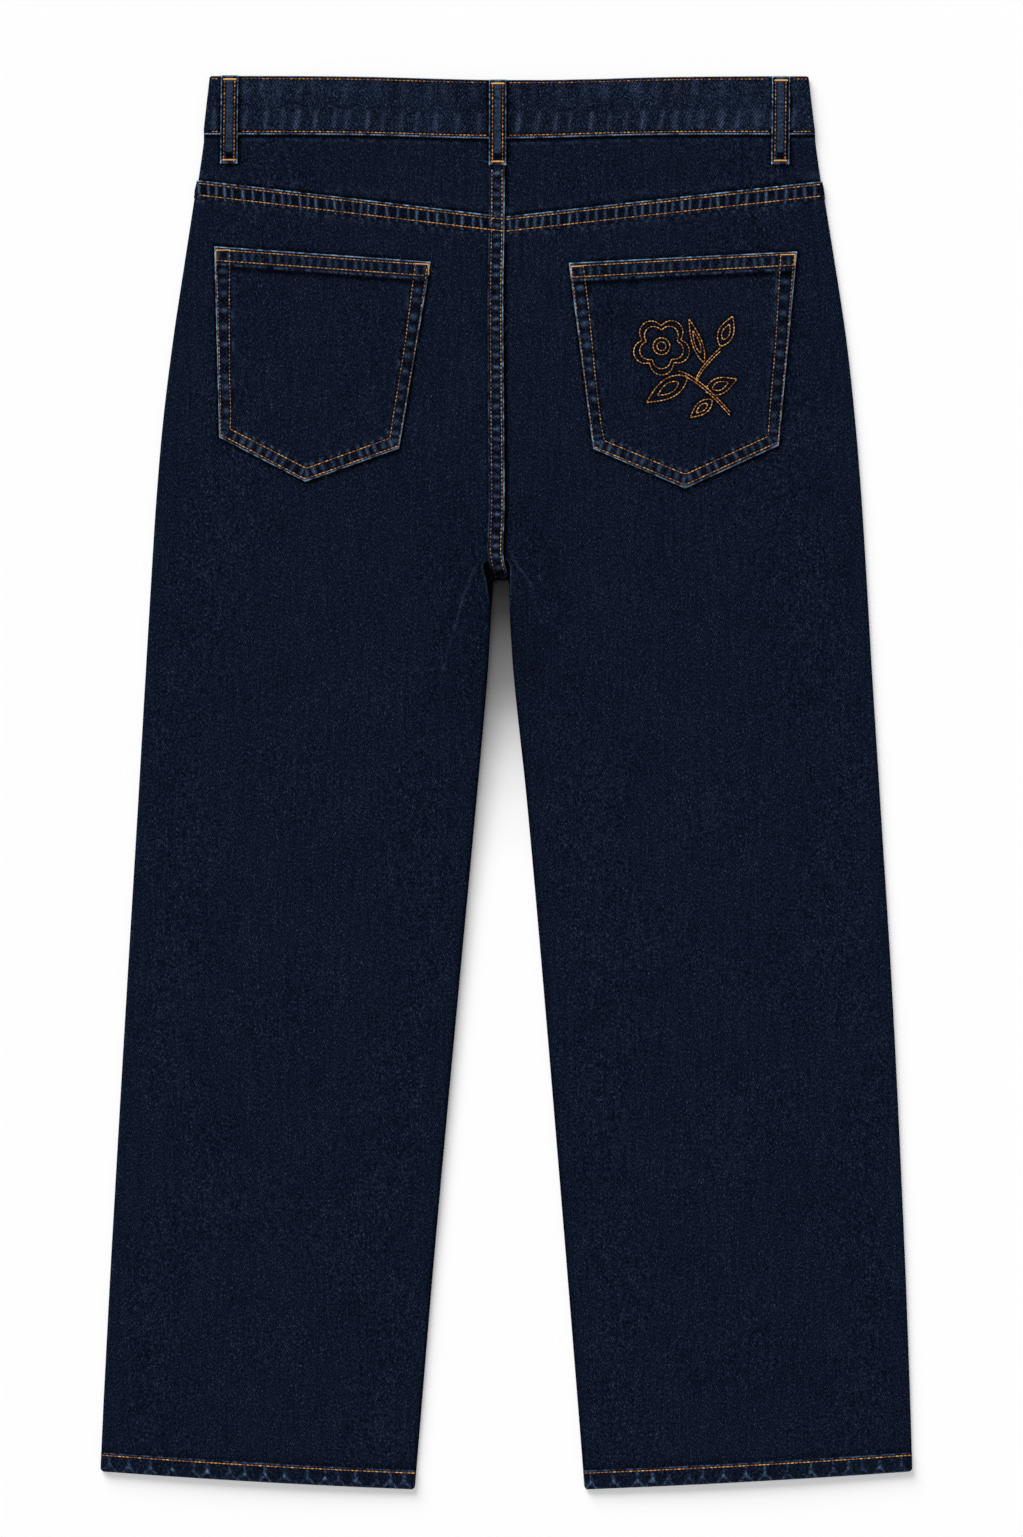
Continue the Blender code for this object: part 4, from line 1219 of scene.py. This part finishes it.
def rowStitches(tree, points, draw, pitch=stitch["pitch"], fill=stitch["fill"], radius=stitch["radius"], tone=0.0):
    spots = walk(points, pitch)
    found = []
    for start, end in zip(spots, spots[1:]):
        share = fill * draw.uniform(0.93, 1.05)
        aside = (end - start)[::-1] * (1, -1) * draw.uniform(-0.035, 0.035)
        first, last = mix(start, end, (1 - share) / 2) + aside, mix(start, end, (1 + share) / 2) - aside
        heights = [surfaceAt(tree, *spot) for spot in (first, (first + last) / 2, last)]
        if None not in heights:
            thick = radius * draw.uniform(0.92, 1.08)
            found.append((*first, *last, *heights, thick, draw.uniform(0.05, 0.85) + tone))
    return found


def threadPiece(name, rows, material=thread):
    rows = np.array(rows, float)
    stations, around = stitch["stations"], stitch["sides"]
    t = np.linspace(0, 1, stations)[None, :]
    x, down = mix(rows[:, 0:1], rows[:, 2:3], t), mix(rows[:, 1:2], rows[:, 3:4], t)
    low, middle, high, radius = rows[:, 4:5], rows[:, 5:6], rows[:, 6:7], rows[:, 7:8]
    z = low * (1 - t) * (1 - 2 * t) + middle * 4 * t * (1 - t) + high * t * (2 * t - 1)
    z = np.maximum(z, rows[:, 4:7].min(axis=1, keepdims=True))
    z = z + radius * (0.85 * np.sin(np.pi * t) ** 0.5 - 0.35)
    girth = radius * (0.42 + 0.58 * np.sin(np.pi * t) ** 0.45)
    centre = np.stack([x, -down, z], axis=-1)
    heading = centre[:, -1:] - centre[:, :1]
    heading = heading / np.linalg.norm(heading, axis=-1, keepdims=True)
    aside = np.cross(heading, [0, 0, 1.0])
    aside = aside / np.linalg.norm(aside, axis=-1, keepdims=True)
    up = np.cross(aside, heading)
    angle = np.linspace(0, 2 * np.pi, around, endpoint=False)[:, None]
    ring = np.cos(angle) * aside[:, :, None, :] + np.sin(angle) * up[:, :, None, :]
    points = centre[:, :, None, :] + girth[:, :, None, None] * ring
    points = place(points[..., 0], -points[..., 1], points[..., 2])
    index = np.arange(len(rows) * stations * around).reshape(len(rows), stations, around)
    beside = np.roll(index, -1, axis=2)
    quads = np.stack([index[:, :-1], beside[:, :-1], beside[:, 1:], index[:, 1:]], axis=-1).reshape(-1, 4)
    caps = np.concatenate([index[:, 0, ::-1], index[:, -1]])
    # painted shade: a stitch is darkest where it dips into the cloth
    tone = rows[:, 8:9] - stitch["dip"][material.name] * (1 - np.sin(np.pi * t) ** 0.5)
    piece = makePiece(name, points.reshape(-1, 3).tolist(), quads.tolist() + caps.tolist(), material,
                      {"tone": np.repeat(tone, around).astype(np.float32)})
    threads[name] = dress(piece)


def tackStitches(tree, start, end, width, draw, glow=0.0):
    # a bar tack: close threads laid across the bar
    start, end = np.array(start, float), np.array(end, float)
    length = np.linalg.norm(end - start)
    run = (end - start) / length
    across = np.array([-run[1], run[0]]) * width / 2
    count = int(length / stitch["tackStep"])
    found = []
    for order in range(count + 1):
        spot, lean = mix(start, end, order / count), run * draw.uniform(-0.2, 0.2)
        first, last = spot - across - lean, spot + across + lean
        height = surfaceAt(tree, *spot)
        if height is not None:
            found.append((*first, *last, height, height + 0.18, height, 0.33, draw.uniform(0.6, 1.0) + glow))
    return found


def linePoints(makeDown, start, end, step=6.0):
    xs = spaced(start, end, step)
    return list(zip(xs, makeDown(xs)))


draw = random.Random(5)
seamTree = clothTree(["seatBand", "yokeBand.left", "yokeBand.right", "waistbandCloth", "beltLoop.left",
                      "beltLoop.centre", "beltLoop.right", "hem.left", "hem.right", "backLeg.left", "backLeg.right",
                      "yoke.left", "yoke.right"])
rows = []
for level in waist["rows"]:
    for start, end in waist["stitched"]:
        points = linePoints(lambda x: waistRim(x, level), start, end + draw.uniform(-0.3, 0.3))
        rows += rowStitches(seamTree, points, draw, fill=0.88, radius=0.34, tone=-0.25 if level < 10 else 0.0)
threadPiece("threadWaistband", rows)
rows = []
for side in sides:
    for offset in yokeBand["rows"]:
        points = linePoints(lambda x: yokeLine(side, x) - 0.3 + offset, *yokeBand["stitched"][side])
        rows += rowStitches(seamTree, points, draw, fill=0.98, radius=0.36)
threadPiece("threadYoke", rows)
rows, downs = [], spaced(*seatSeam["stitched"], 4.0)
for part in seatSeam["rows"]:
    left, right = alongTable(seatBand, "left", downs), alongTable(seatBand, "right", downs)
    points = list(zip(mix(left, right, part / seatSeam["width"]), downs))
    rows += rowStitches(seamTree, points, draw, radius=0.36)
# the right-hand row catches more light, and the seam's end lies in the shade of the crotch
tones = [0.3 if row[1] < 108 else 0.22 if order > len(rows) / 2 else -0.08 for order, row in enumerate(rows)]
rows = [(*row[:8], row[8] - (0.9 if row[1] > 360.5 else 0) + tone) for row, tone in zip(rows, tones)]
threadPiece("threadSeat", rows, paleThread)
for side in sides:
    start = float(sideLine(side, 1010)) - 0.6 * outward(side)
    end = float(alongTable(inseams, side, 1020)) + 0.6 * outward(side)
    points = linePoints(lambda x: hemLine(side, x) - hem["row"], start, end)
    threadPiece(f"threadHem.{side}", rowStitches(seamTree, points, draw, fill=1.0))
rows, tacks = [], []
for name, spec in loops.items():
    left, tone = spec["x"] - spec["width"] / 2, 0.0 if name == "centre" else -0.25
    levels = (spec["top"] + loopBuild["tacks"][0], spec["bottom"] - loopBuild["tacks"][1])
    for part in loopBuild["rows"]:
        points = [(left + part, levels[0] + 0.6), (left + part + spec["lean"], spec["bottom"] - 0.4)]
        rows += rowStitches(seamTree, points, draw, pitch=2.9, fill=0.85, tone=tone)
    for level, glow in zip(levels, (0.35, 0.0)):
        middle = spec["x"] + spec["lean"] * (level - spec["top"]) / 65
        tacks += tackStitches(seamTree, (middle - 4.4, level), (middle + 4.6, level), 1.4, draw, glow)
threadPiece("threadLoops", rows)
threadPiece("threadTacks", tacks)
for side in sides:
    tree, spec = clothTree([f"pocket.{side}"]), pockets[side]
    rows, sideRows = [], []
    for points in spec["top"]:
        rows += rowStitches(tree, points, draw, fill=0.98, radius=0.34)
    for points in (spec["outer"], spec["inner"]):
        tip = max(range(len(points)), key=lambda order: points[order][1])
        for part in (points[:tip], points[tip + 1:]):
            sideRows += rowStitches(tree, part, draw, fill=0.82, pitch=2.9, radius=0.36)
        rows += rowStitches(tree, points[tip - 1:tip + 2], draw, fill=0.98, radius=0.34)
    threadPiece(f"threadPocketSides.{side}", sideRows, paleThread)
    for end in (0, -1):
        outer, inner, low = spec["outer"][end], spec["inner"][end], spec["top"][1][end]
        rows += tackStitches(tree, outer, inner, 1.1, draw)
        rows += tackStitches(tree, outer, (mix(low[0], outer[0], 0.3), low[1]), 0.9, draw)
    threadPiece(f"threadPocket.{side}", rows)
print("stitches made:", {name: len(piece.data.polygons) for name, piece in threads.items()})

rows, tree = [], clothTree(["pocket.right"])
for line in motifLines():
    rows += rowStitches(tree, line, draw, pitch=flower["pitch"], fill=0.95, radius=flower["thread"])
threadPiece("embroidery", [(*row[:8], row[8] + draw.choice((0, 0.1, 0.3))) for row in rows])
print("embroidery made:", len(rows), "stitches")


# Loose fibres along the seams and worn places
fibres = {
    "yokes": 40, "pocketEdges": 11, "waist": 34, "seat": 26, "legs": 30, "loops": 12,     # how many lie where
    "bend": 1.7, "length": (2.0, 6.5), "thick": (0.06, 0.11), "steps": 7,
    "colour": (0.050, 0.085, 0.150, 1),
}


def fibreSpots(draw):
    spots = []
    for side in sides:
        way, corners = outward(side), [np.array(corner) for corner in pockets[side]["corners"]]
        for _ in range(fibres["yokes"]):
            x = way * draw.uniform(8, 215)
            spots.append((x, float(yokeLine(side, x)) + draw.choice((-2, 0, 13, 15)) + draw.uniform(-2, 4)))
        for start, end in zip(corners, corners[1:] + corners[:1]):
            for _ in range(fibres["pocketEdges"]):
                spots.append(tuple(mix(start, end, draw.random()) + (draw.uniform(-3, 3), draw.uniform(-3, 3))))
        for count, spanX, spanDown in ((fibres["waist"], (8, 205), (4, 50)), (fibres["seat"], (5, 20), (70, 350)),
                                       (fibres["legs"], (60, 230), (130, 1000))):
            for _ in range(count):
                spots.append((way * draw.uniform(*spanX), draw.uniform(*spanDown)))
    for spec in loops.values():
        for _ in range(fibres["loops"]):
            x, ends = spec["x"] + draw.uniform(-8, 8), (spec["top"] + 4, spec["bottom"] - 1)
            spots.append((x, draw.choice(ends) + draw.uniform(-3, 4)))
    return spots


def fibrePiece():
    tree = clothTree([name for name in made if not name.startswith("front")])
    draw, steps = random.Random(77), fibres["steps"]
    points, faces = [], []
    for x, down in fibreSpots(draw):
        angle, bend = draw.uniform(0, 2 * np.pi), draw.uniform(-fibres["bend"], fibres["bend"])
        length, run = draw.uniform(*fibres["length"]), []
        for order in range(steps):
            z = surfaceAt(tree, x, down)
            if z is None:
                break
            run.append((x, down, z + 0.12 + 0.2 * math.sin(math.pi * order / (steps - 1))))
            angle += bend / steps
            x, down = x + math.cos(angle) * length / steps, down + math.sin(angle) * length / steps
        if len(run) < steps:
            continue
        thick, first = draw.uniform(*fibres["thick"]), len(points)
        for x, down, z in run:
            for turn in (0.0, 2.1, 4.2):
                across = thick * math.cos(turn)
                points.append(tuple(place(x - across * math.sin(angle), down + across * math.cos(angle),
                                          z + thick * math.sin(turn))))
        for here in range(first, first + 3 * (steps - 1), 3):
            for corner, beside in ((0, 1), (1, 2), (2, 0)):
                faces.append((here + corner, here + beside, here + beside + 3, here + corner + 3))
    material, _, shader = blankMaterial("fibre", roughness=0.9, specular=0.05)
    shader.inputs["Base Color"].default_value = fibres["colour"]
    dress(makePiece("looseFibres", points, faces, material, {}))


fibrePiece()
print("fibres made")

# The waist button, turned from a profile of radius shares and heights
button = {
    "x": 5.2, "down": 22.0, "radius": 8.5,
    "profile": ((0, 0.25), (0.18, 0.22), (0.30, 0.10), (0.42, 0.22), (0.66, 0.25), (0.74, 0.08), (0.88, 0.0),
                (0.97, 0.12), (1.0, 0.40), (0.98, 1.2), (0.9, 1.65)),
    "patina": ((0, (0.16, 0.07, 0.035, 1)), (1, (0.52, 0.27, 0.13, 1))),
}


def buttonPiece():
    shares, heights = np.array(button["profile"]).T[:, :, None]
    around = np.linspace(0, 2 * np.pi, 65)
    radius = np.maximum(shares * button["radius"], 0.01)
    x, down = button["x"] + radius * np.cos(around), button["down"] + radius * np.sin(around)
    material, tree, shader = blankMaterial("buttonCopper", roughness=0.38, metallic=1.0)
    metal = rampNode(tree, noiseNode(tree, 700, 4.0), button["patina"])
    tree.links.new(metal, shader.inputs["Base Color"])
    return gridMesh("waistButton", x, down, heights + 0 * around, material)


dress(buttonPiece(), ["waist_button"])


# What each piece stands for
def layCloth(name, node):
    dress(made[name], [node])


for side in sides:
    bands = [made[f"hem.{side}"], made[f"yokeBand.{side}"], threads[f"threadHem.{side}"]]
    for band in bands[:2]:
        dress(band)
    if side == "left":
        bands.append(dress(made["seatBand"]))
    layCloth(f"frontLeg.{side}", f"front_leg_{side}")
    layCloth(f"backLeg.{side}", f"back_leg_{side}")
    layCloth(f"yoke.{side}", f"yoke_{side}")
    layCloth(f"pocket.{side}", f"pocket_{side}")
dress(made["waistbandCloth"], ["waistband"])
for name in loops:
    dress(made[f"beltLoop.{name}"], [f"belt_loop_{name}"])
print("pieces tied to the frame")


# Floor, light and camera
studio = {
    "frameHigh": 1537 * 0.00073,      # the photograph's height at the garment's scale
    "look": (0.0037, 0.0098),
    "lens": 120.0, "sensor": 36.0,
    "floor": 0.853,
    "floorReach": 12.0, "floorDepth": -0.0004,
    "sky": 0.15,
    "suns": (                         # strength, direction, spread: a soft lamp overhead, and the key light
        (1.61, (0.0, 0.0, 1.0), 30.0),
        (3.45, (-0.45, 0.80, 0.47), 38.0),
    ),
    # where the gap starts and how long it is along y, and the line of the left leg's edge beside it
    "gapStart": 0.147, "gapLength": 0.66, "legSlope": -0.09, "legOffset": 0.020782,
    "shadeCentre": (-0.004, -0.06), "shadeHalf": (0.072, 0.455),     # no shade is painted outside this
    # light on the floor between the legs, by the share of the way from the crotch to the hems
    "gapLight": ((0.0, 0.016), (0.014, 0.024), (0.036, 0.046), (0.070, 0.130), (0.114, 0.235), (0.137, 0.37),
                 (0.160, 0.58), (0.204, 0.80), (0.25, 0.93), (0.31, 1.0)),
    "gapShade": ((0.036, 0.0), (0.114, 0.22), (0.16, 0.46), (0.25, 0.42), (0.36, 0.33), (0.47, 0.30),
                 (0.69, 0.22), (0.80, 0.12), (1.0, 0.0)),
    "gapShadeWidth": ((0.114, 0.26), (0.16, 0.30), (0.25, 0.25), (0.31, 0.21), (0.36, 0.17), (0.47, 0.14),
                      (0.69, 0.11)),   # in units of 50 mm
}


def linkObject(name, data):
    holder = bpy.data.objects.new(name, data)
    bpy.context.scene.collection.objects.link(holder)
    return holder


def buildFloor():
    reach, depth = studio["floorReach"], studio["floorDepth"]
    # the narrow gap under the crotch lies in deep shade, and the left leg shades its side of it
    material, tree, shader = blankMaterial("floor", specular=0.0)
    calc, where = partial(mathNode, tree), addNode(tree, "ShaderNodeSeparateXYZ")
    tree.links.new(addNode(tree, "ShaderNodeNewGeometry").outputs["Position"], where.inputs[0])
    x, y = where.outputs["X"], where.outputs["Y"]
    along = calc("MULTIPLY_ADD", y, -1 / studio["gapLength"], studio["gapStart"] / studio["gapLength"])
    light, shade, width = [rampNode(tree, along, studio[key]) for key in ("gapLight", "gapShade", "gapShadeWidth")]
    fromLeg = calc("ADD", x, calc("MULTIPLY_ADD", y, studio["legSlope"], studio["legOffset"]))
    falling = calc("POWER", calc("DIVIDE", calc("MULTIPLY", fromLeg, 20), width), 2.0)
    falling = calc("EXPONENT", calc("MULTIPLY", falling, -1.0))
    shaded = calc("MULTIPLY", calc("SUBTRACT", 1.0, calc("MULTIPLY", shade, falling)), light)
    for value, centre, half in zip((x, y), studio["shadeCentre"], studio["shadeHalf"]):
        outer = calc("GREATER_THAN", calc("ABSOLUTE", calc("SUBTRACT", value, centre)), half)
        shaded = calc("MAXIMUM", shaded, outer)
    mixNode(tree, shader, 1.0, (studio["floor"], studio["floor"], studio["floor"], 1), shaded, "MULTIPLY")
    corners = [(x, y, depth) for x, y in ((-reach, -reach), (reach, -reach), (reach, reach), (-reach, reach))]
    makePiece("floor", corners, [(0, 1, 2, 3)], material, {})


def buildStudio():
    scene, data = bpy.context.scene, bpy.data.cameras.new("camera")
    data.lens, data.sensor_width, data.clip_end = studio["lens"], studio["sensor"], 100
    camera = linkObject("camera", data)
    camera.location = (*studio["look"], studio["frameHigh"] * studio["lens"] / studio["sensor"] + 0.004)
    scene.camera = camera
    world = bpy.data.worlds.new("studio")
    world.use_nodes = True
    backdrop = world.node_tree.nodes["Background"]
    backdrop.inputs["Color"].default_value = (1, 1, 1, 1)
    backdrop.inputs["Strength"].default_value = studio["sky"]
    scene.world = world
    for strength, fromWhere, spread in studio["suns"]:
        lamp = bpy.data.lights.new("sun", "SUN")
        lamp.energy, lamp.angle = strength, math.radians(spread)
        linkObject("sun", lamp).rotation_euler = Vector(fromWhere).to_track_quat("Z", "Y").to_euler()
    buildFloor()
    scene.view_settings.view_transform = "Standard"


buildStudio()
print("studio made")
